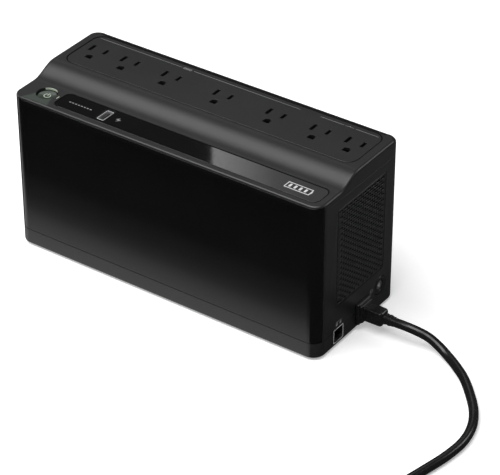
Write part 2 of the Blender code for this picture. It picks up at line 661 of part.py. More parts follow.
def main_board():
    top = 15.6
    base = top + GAP
    boxes("main_board", BOARD, ((29.0, 112.0), (-45.0, -2.0), (top - 1.6, top)))
    fins = 6
    fin_thick = 1.6
    fin_pitch = (30.0 - fin_thick) / (fins - 1)
    sink = boxes("heat_sink", ALUMINIUM, ((40.0, 70.0), (-36.0, -33.0), (base, 52.0)))
    fuse(sink, boxes("sink_fins", None, *[((40.0 + i * fin_pitch, 40.0 + i * fin_pitch + fin_thick),
                                           (-44.0, -35.0), (base, 52.0)) for i in range(fins)]))
    for index, x in enumerate((75.0, 95.0)):
        bevelled(boxes(f"relay_{index + 1}", COMPONENT, ((x, x + 15.0), (-43.0, -25.0), (base, 31.0))), 0.8)
    for index, (x, radius, height) in enumerate(((47.0, 8.0, 44.0), (66.0, 6.0, 38.0))):
        profile = ((0.0, height), (radius - 0.8, height), (radius, height - 0.8), (radius, base),
                   (0.0, base))
        turned(f"capacitor_{index + 1}", COMPONENT, profile, (x, -17.0, 0.0), steps=20)
    ring = ((9.5, 26.0), (9.5, base), (3.5, base), (3.5, 26.0))
    turned("filter_choke", COPPER, ring, (99.0, -13.5, 0.0), steps=20)
    buzzer = turned("buzzer", COMPONENT, ((0.0, 24.0), (6.0, 24.0), (6.0, base), (0.0, base)),
                    (81.0, -12.0, 0.0), steps=20)
    cut(buzzer, cylinders("buzzer_mouth", None, "Z", ((81.0, -12.0),), 1.2, (22.0, 25.0), 10))


# ---- right side: data port, breaker, cord ------------------------------------------------------
def data_jack():
    y, z = JACK_YZ
    jack = boxes("data_jack", NYLON, ((115.5, HALF_W), around(y, JACK_HALF[0]), around(z, JACK_HALF[1])))
    cut(jack, boxes("jack_mouth", None, ((121.0, HALF_W + 1), around(y, 5.6), (z - 3.4, z + 4.6))))
    cut(jack, boxes("jack_latch_slot", None, ((121.0, HALF_W + 1), around(y, 2.8), (z - 5.0, z - 2.0))))


def circuit_breaker():
    y, z = BREAKER_YZ
    body = cylinders("breaker_body", NYLON, "X", (BREAKER_YZ,), 5.9, (114.0, HALF_W - 1), 24)
    fuse(body, cylinders("breaker_bezel", None, "X", (BREAKER_YZ,), BREAKER_R, (HALF_W - 2.2, HALF_W), 32))
    cut(body, cylinders("breaker_bore", None, "X", (BREAKER_YZ,), 4.1, (120.0, HALF_W + 1), 24))
    profile = ((0.0, 0.0), (3.0, 0.0), (3.7, -0.7), (3.7, -15.0), (0.0, -15.0))
    turned("breaker_reset", NYLON, profile, (HALF_W - 0.4, y, z), steps=24, axis="X")


def strain_relief():
    y, z = INLET_YZ
    relief = section_loft("strain_relief", CORD_PVC, "X", (
        (HALF_W + 2.5, y, z, 5.6, 6.6, 2.0), (HALF_W + 14.0, y, z, 5.2, 6.0, 2.2),
        (HALF_W + 17.5, y, z, 4.9, 5.3, 3.0), (HALF_W + 19.0, y, z, 4.4, 4.4, 4.3),
        (RELIEF_END, y, z, 3.8, 3.8, 3.7)))
    flange = section_loft("relief_flange", None, "X", (
        (HALF_W + GAP, y, z, 9.0, 9.0, 1.5), (HALF_W + 2.6, y, z, 9.0, 9.0, 1.5),
        (HALF_W + 3.2, y, z, 8.4, 8.4, 1.2)))
    fuse(relief, flange)
    fuse(relief, cylinders("relief_neck", None, "X", (INLET_YZ,), 5.4, (131.0, HALF_W + 1), 20))
    fuse(relief, cylinders("relief_lock", None, "X", (INLET_YZ,), 6.4, (130.0, IN_X - GAP), 20))


def cord():
    tube("cord_lead", CORD_PVC, CORD_ROUTE, CORD_R, CORD_R * 4.6)
    inner = COIL_TURN_R[0] - CORD_R
    outer = COIL_TURN_R[1] + CORD_R
    low, high = COIL_Z
    soft = 2.5
    profile = ((inner + soft, high), (outer - soft, high), (outer, high - soft), (outer, low + soft),
               (outer - soft, low), (inner + soft, low), (inner, low + soft), (inner, high - soft))
    turned("cord_coil", CORD_PVC, profile, (*COIL_XY, 0.0), steps=36)
    cx, cy = COIL_XY
    band = (cx - outer - 0.9, cx - inner + 0.9)
    tie = boxes("coil_tie", TIE, (band, around(cy - 12.0, 4.0), (0.2, high + 0.9)))
    # clear the turned ring: the tie stands off its curved sides
    hole = turned("coil_tie_clearance", TIE, (
        (inner - GAP, high + GAP), (outer + GAP, high + GAP), (outer + GAP, low - GAP),
        (inner - GAP, low - GAP)), (*COIL_XY, 0.0), steps=36)
    PARTS.objects.unlink(hole)
    CUTTERS.objects.link(hole)
    hole.hide_render = True
    hole.display_type = "WIRE"
    cut(tie, hole)


def plug():
    """Three-pin plug lying beside the coil, its tail meeting the outer turn."""
    x = COIL_XY[0] + COIL_TURN_R[1]
    y = COIL_XY[1] + 27.0
    tail_z, body_z, half = 13.0, 13.0, 12.7
    face = y + 58.0
    section_loft("plug_body", CORD_PVC, "Y", (
        (y, x, tail_z, 3.9, 3.9, 3.8), (y + 20.0, x, tail_z, 5.4, 5.4, 5.3),
        (y + 24.0, x, body_z, 9.5, 9.5, 5.0), (y + 34.0, x, body_z, 11.0, 11.4, 5.0),
        (face - 5.0, x, body_z, 12.4, half, 5.0), (face, x, body_z, 12.4, half, 5.0)), steps=4)
    blade_z, length = 8.4, 18.0
    for name, side in (("line", -1), ("neutral", 1)):
        blade = boxes(f"plug_blade_{name}", STEEL,
                      (around(x + side * SLOT_HALF_PITCH, 0.75), (face + GAP, face + length),
                       around(blade_z, 3.2)))
        bevelled(blade, 0.5, 1)
    cylinders("plug_ground_pin", STEEL, "Y", ((x, blade_z + 11.9),), 2.35,
              (face + GAP, face + length + 3.0), 14)


top_cover()
housing()
front_panel()
vent_grille("vent_grille_right", 1)
vent_grille("vent_grille_left", -1)
base_pan()
battery_door()
feet()
case_screws()
outlet_plate()
receptacles()
busbars()
status_window()
power_button()
ledge_electronics()
battery()
transformer()
main_board()
data_jack()
circuit_breaker()
strain_relief()
cord()
plug()
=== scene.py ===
"""Looks of a seven-outlet uninterruptible power supply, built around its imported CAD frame.

+X runs along the long side towards the cord, -Y out of the glossy front, +Z up. Places come
from the frame's boxes. Lengths are millimetres unless a comment says metres.
"""
import math

import bmesh
import bpy
from mathutils import Matrix, Vector


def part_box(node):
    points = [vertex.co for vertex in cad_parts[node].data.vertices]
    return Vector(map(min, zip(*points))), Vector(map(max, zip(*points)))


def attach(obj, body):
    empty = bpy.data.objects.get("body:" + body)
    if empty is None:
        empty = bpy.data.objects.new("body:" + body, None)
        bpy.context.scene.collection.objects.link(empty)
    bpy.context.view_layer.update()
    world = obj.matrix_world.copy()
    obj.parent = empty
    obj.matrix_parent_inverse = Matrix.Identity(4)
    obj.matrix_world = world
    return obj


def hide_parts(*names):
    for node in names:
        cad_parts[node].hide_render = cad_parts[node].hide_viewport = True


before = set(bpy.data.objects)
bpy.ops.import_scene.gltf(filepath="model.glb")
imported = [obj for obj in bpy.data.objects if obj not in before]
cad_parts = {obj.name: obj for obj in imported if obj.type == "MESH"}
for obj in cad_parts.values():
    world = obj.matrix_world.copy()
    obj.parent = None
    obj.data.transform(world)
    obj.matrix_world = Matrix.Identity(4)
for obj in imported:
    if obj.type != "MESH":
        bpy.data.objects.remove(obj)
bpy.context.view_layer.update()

MM = 0.001


def box_mm(node):
    low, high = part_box(node)
    return Vector(low) / MM, Vector(high) / MM


def middle(node):
    low, high = box_mm(node)
    return (low + high) / 2


# ---- camera --------------------------------------------------------------------------------
CAMERA_TURN = math.radians(35.0)
CAMERA_PITCH = math.radians(34.0)
CAMERA_PLACE = (0.8910, -1.2127, 1.0419)      # metres
LENS = 174.24


def add_camera():
    data = bpy.data.cameras.new("camera")
    data.lens = LENS
    data.clip_end = 30.0
    camera = bpy.data.objects.new("camera", data)
    bpy.context.scene.collection.objects.link(camera)
    camera.location = CAMERA_PLACE
    level = math.cos(CAMERA_PITCH)
    looking = Vector((-math.sin(CAMERA_TURN) * level, math.cos(CAMERA_TURN) * level,
                      -math.sin(CAMERA_PITCH)))
    camera.rotation_euler = looking.to_track_quat("-Z", "Y").to_euler()
    bpy.context.scene.camera = camera


add_camera()

# ---- frame dimensions ----------------------------------------------------------------------
HOUSE_LOW, HOUSE_HIGH = box_mm("housing")
PLATE_LOW, PLATE_HIGH = box_mm("outlet_plate")
WINDOW_LOW, WINDOW_HIGH = box_mm("status_window")
PANEL_LOW, PANEL_HIGH = box_mm("front_panel")
HALF_W, HALF_D = HOUSE_HIGH.x, HOUSE_HIGH.y
CORNER = 10.0
WALL = 2.5
GAP = 0.3
FRONT_STEP = 5.7          # depth from the front face to the inside of the front wall
EDGE_FRONT, EDGE_SIDE, EDGE_REAR = 1.5, 2.5, 6.5      # rounding of the cover's top edge
COVER_FOOT = HOUSE_HIGH.z + GAP
LEDGE = WINDOW_HIGH.z + 0.1
LEDGE_CEILING = LEDGE - 3.5
DECK = box_mm("top_cover")[1].z
DECK_CEILING = 133.4
PRINT_LEVEL = DECK - 0.1  # top of the outlet plate
INK_RISE = 0.06
S_FRONT, S_REAR = -26.5, -3.0       # ends of the S-curve along Y
PANEL_THICK = PANEL_HIGH.y + HALF_D
PANEL_END = -45.5         # where the panel's sides stop, short of the flat sides of the case
PLATE_RADIUS = 9.0
WINDOW_RADIUS = 5.0
MARGIN = 0.7              # from the plate or the window to the edge of its recess
VENT_LIP = 3.0
KEYHOLES = (-76.0, 76.0)
KEYHOLE_Z = (82.0, 93.0)
KEYHOLE_SLOT, KEYHOLE_HEAD = 2.3, 4.5       # half widths
INLET_R = 5.8
BREAKER_AT = middle("breaker_body")
BREAKER_R = 7.6
BUTTON_AT = middle("power_button")
BUTTON_R = 7.6
LENS_AT = middle("light_pipe")
JACK_AT = middle("data_jack")
USB_AT = middle("usb_shell")
USB_OPENING = (3.7, 7.4)  # half sizes, as is the next
LENS_OPENING = (0.8, 2.1)
OUTLETS = [(a.x + b.x) / 2 for a, b in (box_mm(f"receptacle_{i}") for i in range(1, 8))]
SOCKET_BAY = ((-125.6, 125.6), (5.0, 36.5))
SLOT_Y = 26.0
SLOT_HALF_PITCH = 6.35
GROUND_Y = SLOT_Y - 11.9
GROUND_R = 2.75


# ---- mesh helpers --------------------------------------------------------------------------
def finish_mesh(mesh, sharp=35.0):
    mesh.shade_smooth()
    mesh.set_sharp_from_angle(angle=math.radians(sharp))


def piece(name, bm, material, sharp=35.0):
    """A bmesh in millimetres becomes an object; without a material it is a cutter."""
    bmesh.ops.remove_doubles(bm, verts=bm.verts, dist=0.0005)
    bmesh.ops.recalc_face_normals(bm, faces=bm.faces)
    bmesh.ops.scale(bm, verts=bm.verts, vec=(MM, MM, MM))
    mesh = bpy.data.meshes.new(name)
    bm.to_mesh(mesh)
    bm.free()
    finish_mesh(mesh, sharp)
    if material is not None:
        mesh.materials.append(material)
    obj = bpy.data.objects.new(name, mesh)
    bpy.context.scene.collection.objects.link(obj)
    return obj


def polar(centre, radius, angle):
    return (centre[0] + radius * math.cos(angle), centre[1] + radius * math.sin(angle))


def lifted(outline, level, axis="Z"):
    """The points of a flat outline, set at one level of an axis."""
    order = {"X": (2, 0, 1), "Y": (0, 2, 1), "Z": (0, 1, 2)}[axis]
    return [[(u, v, level)[place] for place in order] for u, v in outline]


def rect_outline(x0, x1, y0, y1, radius, steps=6, inset=0.0):
    """Anticlockwise outline of a rectangle with round corners."""
    radius = max(radius - inset, 0.02)
    points = []
    for x, y, start in ((x1, y0, -90), (x1, y1, 0), (x0, y1, 90), (x0, y0, 180)):
        cx = x - math.copysign(radius + inset, x - (x0 + x1) / 2)
        cy = y - math.copysign(radius + inset, y - (y0 + y1) / 2)
        for step in range(steps + 1):
            points.append(polar((cx, cy), radius, math.radians(start + 90 * step / steps)))
    return points


def skin(bm, rings, closed=False, top=True):
    """Join a stack of rings with equal point counts; an open stack is capped at its ends."""
    loops = [[bm.verts.new(point) for point in ring] for ring in rings]
    pairs = list(zip(loops, loops[1:]))
    if closed:
        pairs.append((loops[-1], loops[0]))
    for low, high in pairs:
        for i in range(len(low)):
            j = (i + 1) % len(low)
            bm.faces.new((low[i], low[j], high[j], high[i]))
    if not closed:
        bm.faces.new(loops[0][::-1])
        if top:
            bm.faces.new(loops[-1])
    return loops


def prism_into(bm, outline, z):
    skin(bm, [lifted(outline, height) for height in z])


def round_levels(low, high, bottom, top, steps=4):
    """(height, inset) pairs of a slab whose bottom and top edges are quarter rounds."""
    levels = set()
    for face, edge in ((low, bottom), (high, -top)):
        for step in range(steps + 1):
            angle = math.radians(90 * step / steps)
            levels.add((face + edge * (1 - math.sin(angle)), abs(edge) * (1 - math.cos(angle))))
    return sorted(levels)


def slab_into(bm, rect, z, radius, bottom=0.0, top=0.0, steps=8, axis="Z"):
    """A rounded plate; axis says which way its thickness runs."""
    skin(bm, [lifted(rect_outline(*rect, radius, steps, inset), height, axis)
              for height, inset in round_levels(*z, bottom, top)])


def slab(name, material, rect, z, radius, **options):
    bm = bmesh.new()
    slab_into(bm, rect, z, radius, **options)
    return piece(name, bm, material)


def box_into(bm, x, y, z):
    centre = ((x[0] + x[1]) / 2, (y[0] + y[1]) / 2, (z[0] + z[1]) / 2)
    size = (x[1] - x[0], y[1] - y[0], z[1] - z[0])
    bmesh.ops.create_cube(bm, size=1.0, matrix=Matrix.Translation(centre) @ Matrix.Diagonal((*size, 1.0)))


def boxes(name, material, *spans):
    bm = bmesh.new()
    for x, y, z in spans:
        box_into(bm, x, y, z)
    return piece(name, bm, material)


def turned_into(bm, profile, origin, axis="Z", steps=48):
    """Revolve (radius, height) points; a zero radius closes the end on the axis."""
    place = {"Z": Matrix.Identity(4), "X": Matrix.Rotation(math.pi / 2, 4, "Y"),
             "Y": Matrix.Rotation(-math.pi / 2, 4, "X")}[axis]
    place = Matrix.Translation(origin) @ place
    loops = []
    for radius, height in profile:
        if radius == 0:
            loops.append([bm.verts.new(place @ Vector((0, 0, height)))])
            continue
        ring = lifted([polar((0, 0), radius, 2 * math.pi * step / steps) for step in range(steps)], height)
        loops.append([bm.verts.new(place @ Vector(point)) for point in ring])
    pairs = list(zip(loops, loops[1:]))
    if profile[0][0] and profile[-1][0]:
        pairs.append((loops[-1], loops[0]))
    for a, b in pairs:
        for i in range(steps):
            j = (i + 1) % steps
            corners = [a[i % len(a)], a[j % len(a)], b[j % len(b)], b[i % len(b)]]
            unique = list(dict.fromkeys(corners))
            if len(unique) > 2:
                bm.faces.new(unique)


def turned(name, material, profile, origin, axis="Z", steps=48):
    bm = bmesh.new()
    turned_into(bm, profile, origin, axis, steps)
    return piece(name, bm, material)


def cylinder_cutter(name, axis, centres, radius, span, steps=48):
    bm = bmesh.new()
    for centre in centres:
        turned_into(bm, ((0.0, span[0]), (radius, span[0]), (radius, span[1]), (0.0, span[1])),
                    centre, axis, steps)
    return piece(name, bm, None)


def around(centre, half):
    return (centre - half, centre + half)


def hole(at, half, z):
    """Spans of a rectangular hole centred on a place."""
    return (around(at.x, half[0]), around(at.y, half[1]), z)


def plan(low, high, inset=0.0):
    """X and Y limits of a box drawn in by inset, as slab takes them."""
    return (low.x + inset, high.x - inset, low.y + inset, high.y - inset)


def lofted(name, material, axis, centre, stations, sharp=35.0):
    """Rounded rectangles along X or Y; a station is (place, half width, half height, radius)."""
    rings = []
    for place, half_u, half_z, radius in stations:
        outline = rect_outline(*around(centre[0], half_u), *around(centre[1], half_z), radius, 7)
        rings.append(lifted(outline, place, axis))
    bm = bmesh.new()
    skin(bm, rings)
    return piece(name, bm, material, sharp)


def collar_into(bm, rect, radius, levels, steps, axis="Z"):
    """A closed ring of rounded rectangles; a level is (place along the axis, inset)."""
    rings = [lifted(rect_outline(*rect, radius, steps, inset), place, axis) for place, inset in levels]
    skin(bm, rings, closed=True)


def combine(target, operation, *tools):
    """Boolean with each tool in turn, then keep the result as the object's own mesh."""
    for tool in tools:
        modifier = target.modifiers.new("join", "BOOLEAN")
        modifier.operation = operation
        modifier.object = tool
        modifier.solver = "EXACT"
    settle(target)
    for tool in tools:
        bpy.data.objects.remove(tool, do_unlink=True)


def settle(target):
    graph = bpy.context.evaluated_depsgraph_get()
    mesh = bpy.data.meshes.new_from_object(target.evaluated_get(graph))
    target.modifiers.clear()
    target.data = mesh


def cut(target, *tools):
    combine(target, "DIFFERENCE", *tools)


def soften(obj, width, segments=2, angle=40.0):
    """Round an object's sharp edges and even out the shading of its flat faces."""
    bevel = obj.modifiers.new("soft edges", "BEVEL")
    bevel.width = width * MM
    bevel.segments = segments
    bevel.limit_method = "ANGLE"
    bevel.angle_limit = math.radians(angle)
    bevel.miter_outer = "MITER_ARC"
    bevel.harden_normals = False
    return even(obj)


def even(obj):
    weighted = obj.modifiers.new("even shading", "WEIGHTED_NORMAL")
    weighted.keep_sharp = True
    return obj


def placed(obj, slot, *nodes, body="case"):
    """Hand a finished piece to the frame: its body and the nodes it stands for. The slot argument is not
    used.
    """
    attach(obj, body)
    if nodes:
        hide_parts(*nodes)
    return obj


def finished(obj, slot, *nodes, width=0.0, sharp=30.0):
    """Refresh the shading of a cut mesh, round its edges where a width is given, and place it."""
    finish_mesh(obj.data, sharp)
    return placed(soften(obj, width) if width else even(obj), slot, *nodes)


# ---- materials -----------------------------------------------------------------------------
def preset(node, values):
    for name, value in values.items():
        node.inputs[name].default_value = value


def shader_base(name, colour, roughness, metallic=0.0, specular=0.5, coat=0.0):
    material = bpy.data.materials.new(name)
    material.use_nodes = True
    tree = material.node_tree
    shader = tree.nodes["Principled BSDF"]
    preset(shader, {"Base Color": (*colour, 1.0), "Roughness": roughness, "Metallic": metallic,
                    "Specular IOR Level": specular, "Coat Weight": coat, "Coat Roughness": 0.05})
    place = tree.nodes.new("ShaderNodeTexCoord")
    return material, tree, shader, place.outputs["Object"]


def noise(tree, place, scale, detail=3.0, stretch=None):
    """Noise whose scale is in cells per metre."""
    if stretch is not None:
        mapping = tree.nodes.new("ShaderNodeMapping")
        mapping.inputs["Scale"].default_value = stretch
        tree.links.new(place, mapping.inputs["Vector"])
        place = mapping.outputs["Vector"]
    node = tree.nodes.new("ShaderNodeTexNoise")
    preset(node, {"Scale": scale, "Detail": detail})
    tree.links.new(place, node.inputs["Vector"])
    return node.outputs["Fac"]


def between(tree, value, low, high, start=0.3, end=0.7):
    node = tree.nodes.new("ShaderNodeMapRange")
    preset(node, {"From Min": start, "From Max": end, "To Min": low, "To Max": high})
    tree.links.new(value, node.inputs["Value"])
    return node.outputs["Result"]


def shade(tree, value, dark, light, start=0.35, end=0.65):
    ramp = tree.nodes.new("ShaderNodeValToRGB")
    ramp.color_ramp.elements[0].position = start
    ramp.color_ramp.elements[0].color = (*dark, 1.0)
    ramp.color_ramp.elements[1].position = end
    ramp.color_ramp.elements[1].color = (*light, 1.0)
    tree.links.new(value, ramp.inputs["Fac"])
    return ramp.outputs["Color"]


def bump(tree, shader, height, depth, strength=1.0):
    """Bump whose depth is in millimetres."""
    node = tree.nodes.new("ShaderNodeBump")
    preset(node, {"Strength": strength, "Distance": depth * MM})
    tree.links.new(height, node.inputs["Height"])
    tree.links.new(node.outputs["Normal"], shader.inputs["Normal"])


def tinted(colour, factor):
    return tuple(min(channel * factor, 1.0) for channel in colour)


def tone(tree, shader, value, colour, low, high):
    """Let a value drift the base colour between two shades of itself."""
    tree.links.new(shade(tree, value, tinted(colour, low), tinted(colour, high)), shader.inputs["Base Color"])


def moulded(name, colour, roughness, grain=2600.0, depth=0.012, spread=0.08, specular=0.5, coat=0.0):
    """Moulded plastic: fine spark-eroded grain and a slow drift of tone and sheen."""
    material, tree, shader, place = shader_base(name, colour, roughness, 0.0, specular, coat)
    drift = noise(tree, place, 26.0, 2.0)
    fine = noise(tree, place, grain, 4.0)
    tone(tree, shader, drift, colour, 1 - spread, 1 + spread)
    tree.links.new(between(tree, fine, roughness - 0.05, roughness + 0.05), shader.inputs["Roughness"])
    bump(tree, shader, fine, depth)
    return material


def polished(name, colour, roughness, specular=0.5, coat=0.0):
    """High-gloss plastic: a faint slow ripple, and fine dust and rub marks in the roughness."""
    material, tree, shader, place = shader_base(name, colour, roughness, 0.0, specular, coat)
    ripple = noise(tree, place, 22.0, 1.0)
    rubs = noise(tree, place, 320.0, 5.0, (1.0, 1.0, 0.25))
    tone(tree, shader, ripple, colour, 0.92, 1.1)
    tree.links.new(between(tree, rubs, roughness, roughness + 0.035, 0.5, 0.8),
                   shader.inputs["Roughness"])
    bump(tree, shader, ripple, 0.02, 0.4)
    return material


def metal(name, colour, roughness, stretch=(1.0, 1.0, 12.0)):
    """Stamped or rolled metal with a fine drawn grain."""
    material, tree, shader, place = shader_base(name, colour, roughness, 1.0)
    drawn = noise(tree, place, 900.0, 4.0, stretch)
    tarnish = noise(tree, place, 70.0, 3.0)
    tone(tree, shader, tarnish, colour, 0.82, 1.08)
    tree.links.new(between(tree, drawn, roughness - 0.06, roughness + 0.12), shader.inputs["Roughness"])
    bump(tree, shader, drawn, 0.008)
    return material


def banded(name, dark, light, roughness, metallic, scale, direction, depth):
    """Stacked sheets or wound turns: fine parallel bands."""
    material, tree, shader, place = shader_base(name, light, roughness, metallic)
    wave = tree.nodes.new("ShaderNodeTexWave")
    wave.bands_direction = direction
    preset(wave, {"Scale": scale, "Distortion": 0.6, "Detail": 2.0})
    tree.links.new(place, wave.inputs["Vector"])
    tree.links.new(shade(tree, wave.outputs["Fac"], dark, light), shader.inputs["Base Color"])
    bump(tree, shader, wave.outputs["Fac"], depth)
    return material


def circuit(name, mask, track):
    """Solder mask over copper tracks."""
    material, tree, shader, place = shader_base(name, mask, 0.4, 0.0, 0.5, 0.3)
    bricks = tree.nodes.new("ShaderNodeTexBrick")
    preset(bricks, {"Scale": 90.0, "Mortar Size": 0.06, "Color1": (*mask, 1.0),
                    "Color2": (*tinted(mask, 1.25), 1.0), "Mortar": (*track, 1.0)})
    tree.links.new(place, bricks.inputs["Vector"])
    tree.links.new(bricks.outputs["Color"], shader.inputs["Base Color"])
    bump(tree, shader, bricks.outputs["Fac"], 0.03)
    return material


MATTE = moulded("satin_case", (0.0115, 0.0115, 0.0118), 0.35)
# near-black ring in the outlet plate's groove: painted shade
GROOVE_SHADE = moulded("groove_shade_black", (0.003, 0.003, 0.003), 0.75, 1600.0, 0.02, 0.1, 0.15)
RESET_CAP = moulded("reset_cap", (0.07, 0.07, 0.07), 0.3, 1500.0, 0.01)
GLOSS = polished("piano_black", (0.0022, 0.0022, 0.0024), 0.05)
SMOKED = polished("smoked_window", (0.0035, 0.0035, 0.0038), 0.04)
BUTTON = moulded("button_green", (0.028, 0.04, 0.03), 0.22, 900.0, 0.004, 0.12, 0.5, 0.6)
APRON = moulded("apron_green", (0.032, 0.042, 0.034), 0.36, 1800.0, 0.008)
# pale print for the on/off symbol; also the painted highlight crescent in the button's well
PALE_SYMBOL_AND_HIGHLIGHT = moulded("symbol_and_highlight_pale", (0.42, 0.47, 0.38), 0.4, 1500.0, 0.004)
LENS_GLOW = moulded("light_lens", (0.34, 0.37, 0.30), 0.25, 1500.0, 0.004, 0.15, 0.5, 0.5)
NYLON = moulded("socket_nylon", (0.012, 0.012, 0.012), 0.5, 1500.0, 0.02)
BRASS = metal("contact_brass", (0.72, 0.52, 0.22), 0.3)
STEEL = metal("plated_steel", (0.66, 0.66, 0.68), 0.25)
PORT_STEEL = metal("port_steel", (0.8, 0.8, 0.82), 0.5)
LAMINATION = banded("lamination_steel", (0.05, 0.05, 0.055), (0.24, 0.23, 0.22), 0.42, 0.8, 320.0, "Y", 0.1)
COPPER = banded("winding_tape", (0.36, 0.2, 0.02), (0.62, 0.42, 0.08), 0.42, 0.0, 120.0, "Z", 0.15)
BOARD = circuit("circuit_board", (0.008, 0.07, 0.025), (0.10, 0.20, 0.06))
ALUMINIUM = metal("heat_sink_aluminium", (0.6, 0.61, 0.63), 0.36)
COMPONENT = moulded("component_shell", (0.018, 0.018, 0.022), 0.35, 1200.0, 0.01)
BATTERY = moulded("battery_abs", (0.045, 0.045, 0.05), 0.5, 1100.0, 0.04, 0.1)
RED_LEAD = moulded("lead_red_pvc", (0.42, 0.012, 0.012), 0.35, 600.0, 0.01)
BLACK_LEAD = moulded("lead_black_pvc", (0.012, 0.012, 0.012), 0.35, 600.0, 0.01)
CORD = moulded("cord_pvc", (0.008, 0.008, 0.0085), 0.24, 420.0, 0.02, 0.12)
RUBBER = moulded("foot_rubber", (0.016, 0.016, 0.016), 0.8, 1600.0, 0.05, 0.15, 0.3)
STRAP = banded("strap_weave", (0.008, 0.008, 0.008), (0.03, 0.03, 0.03), 0.75, 0.0, 500.0, "DIAGONAL", 0.08)
INK = moulded("printed_ink", (0.2, 0.2, 0.2), 0.5, 3000.0, 0.004, 0.1)
PALE_INK = moulded("printed_pale_ink", (0.5, 0.5, 0.5), 0.45, 3000.0, 0.004, 0.1)

FINISH = {"case": MATTE, "panel": GLOSS, "window": SMOKED, "button": BUTTON, "lens": LENS_GLOW,
          "nylon": NYLON, "brass": BRASS, "steel": STEEL, "lamination": LAMINATION, "copper": COPPER,
          "board": BOARD, "aluminium": ALUMINIUM, "component": COMPONENT, "battery": BATTERY,
          "lead_red": RED_LEAD, "lead_black": BLACK_LEAD, "cord": CORD, "rubber": RUBBER, "tie": STRAP}
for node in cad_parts.values():
    for holder in node.material_slots:
        holder.material = FINISH[holder.material.name]


# ---- cord ----------------------------------------------------------------------------------
CORD_R = 0.0035           # metres, as is all of the route
CORD_EXIT = (0.1653, 0.006, 0.014)
CORD_ROUTE = (
    (0.1590, 0.0060, 0.0140), CORD_EXIT, (0.1800, 0.0064, 0.0138), (0.1920, 0.0082, 0.0108),
    (0.2020, 0.0076, 0.0069), (0.2110, 0.0046, 0.0043), (0.2210, -0.0012, 0.0037),
    (0.2340, -0.0110, 0.0037), (0.2470, -0.0245, 0.0037), (0.2585, -0.0390, 0.0037),
    (0.2665, -0.0550, 0.0037), (0.2700, -0.0730, 0.0037), (0.2685, -0.0930, 0.0037),
    (0.2640, -0.1140, 0.0037), (0.2590, -0.1360, 0.0037), (0.2556, -0.1580, 0.0037),
    (0.2545, -0.1792, 0.0037),
)
COIL_CENTRE = (0.300, -0.205)
TURN_OUTER, TURN_INNER = 0.0455, 0.0385
TAIL_Z = 0.013
TAIL_END = -0.1700
TURNS, PER_TURN = 4.5, 64
# heights the winding climbs to, and the turns over which it does so
CLIMBS = ((0.0047, 0.0, 0.15), (0.0117, 1.80, 1.99), (0.0187, 2.80, 2.99), (TAIL_Z, 4.02, 4.42))


def eased(value, start, end):
    t = min(max((value - start) / (end - start), 0.0), 1.0)
    return t * t * (3 - 2 * t)


def coil_point(turn):
    """A point of the winding, turn running from 0 to TURNS anticlockwise from the left side."""
    out_to_in = eased(turn, 0.78, 0.98)
    back_out = eased(turn, 3.80, 3.99)
    radius = TURN_OUTER + (TURN_INNER - TURN_OUTER) * (out_to_in - back_out)
    height = level = CORD_ROUTE[-1][2]
    for layer, start, end in CLIMBS:
        height += (layer - level) * eased(turn, start, end)
        level = layer
    return (*polar(COIL_CENTRE, radius, math.pi + 2 * math.pi * turn), height)


def through(points, steps=8):
    """A smooth curve through points, as a list that includes them."""
    knots = [Vector(point) for point in points]
    ends = [knots[0] * 2 - knots[1]] + knots + [knots[-1] * 2 - knots[-2]]
    line = []
    for a, b, c, d in zip(ends, ends[1:], ends[2:], ends[3:]):
        for step in range(steps):
            t = step / steps
            line.append(0.5 * (2 * b + (c - a) * t + (2 * a - 5 * b + 4 * c - d) * t * t
                               + (3 * b - a - 3 * c + d) * t ** 3))
    return line + [knots[-1]]


def round_line(name, points, radius, material, resolution=6):
    """A round tube along points given in metres."""
    data = bpy.data.curves.new(name, "CURVE")
    data.dimensions = "3D"
    data.bevel_depth = radius
    data.bevel_resolution = resolution
    data.use_fill_caps = True
    spline = data.splines.new("POLY")
    spline.points.add(len(points) - 1)
    for slot, point in zip(spline.points, points):
        slot.co = (*point, 1.0)
    spline.use_smooth = True
    data.materials.append(material)
    obj = bpy.data.objects.new(name, data)
    bpy.context.scene.collection.objects.link(obj)
    return obj


def lead_line():
    """The whole lead: its loose stretch, the winding, and a straight tail into the plug."""
    winding = [Vector(coil_point(i / PER_TURN)) for i in range(1, int(TURNS * PER_TURN) + 1)]
    x, y = COIL_CENTRE[0] + TURN_OUTER, COIL_CENTRE[1]
    tail = [Vector((x, y + (TAIL_END - y) * i / 6, TAIL_Z)) for i in range(1, 7)]
    return through(CORD_ROUTE) + winding + tail


def cord():
    lead = round_line("cord_flex", lead_line(), CORD_R, CORD)
    return placed(lead, "cord", "cord_lead", "cord_coil")


def cord_strap():
    """A hook-and-loop strap round the bundle of turns."""
    low, high = box_mm("coil_tie")
    x = middle("coil_tie").x
    near, far = low.y + 0.3, high.y - 0.3
    bm = bmesh.new()
    collar_into(bm, (low.x, high.x, low.z, high.z), 3.4, ((near, 0.0), (far, 0.0), (far, 0.9), (near, 0.9)),
                6, "Y")
    box_into(bm, (x - 1.0, x + 6.5), (low.y + 0.6, high.y - 0.6), (high.z - 0.2, high.z + 0.6))
    return placed(soften(piece("coil_strap", bm, STRAP), 0.15), "tie", "coil_tie")


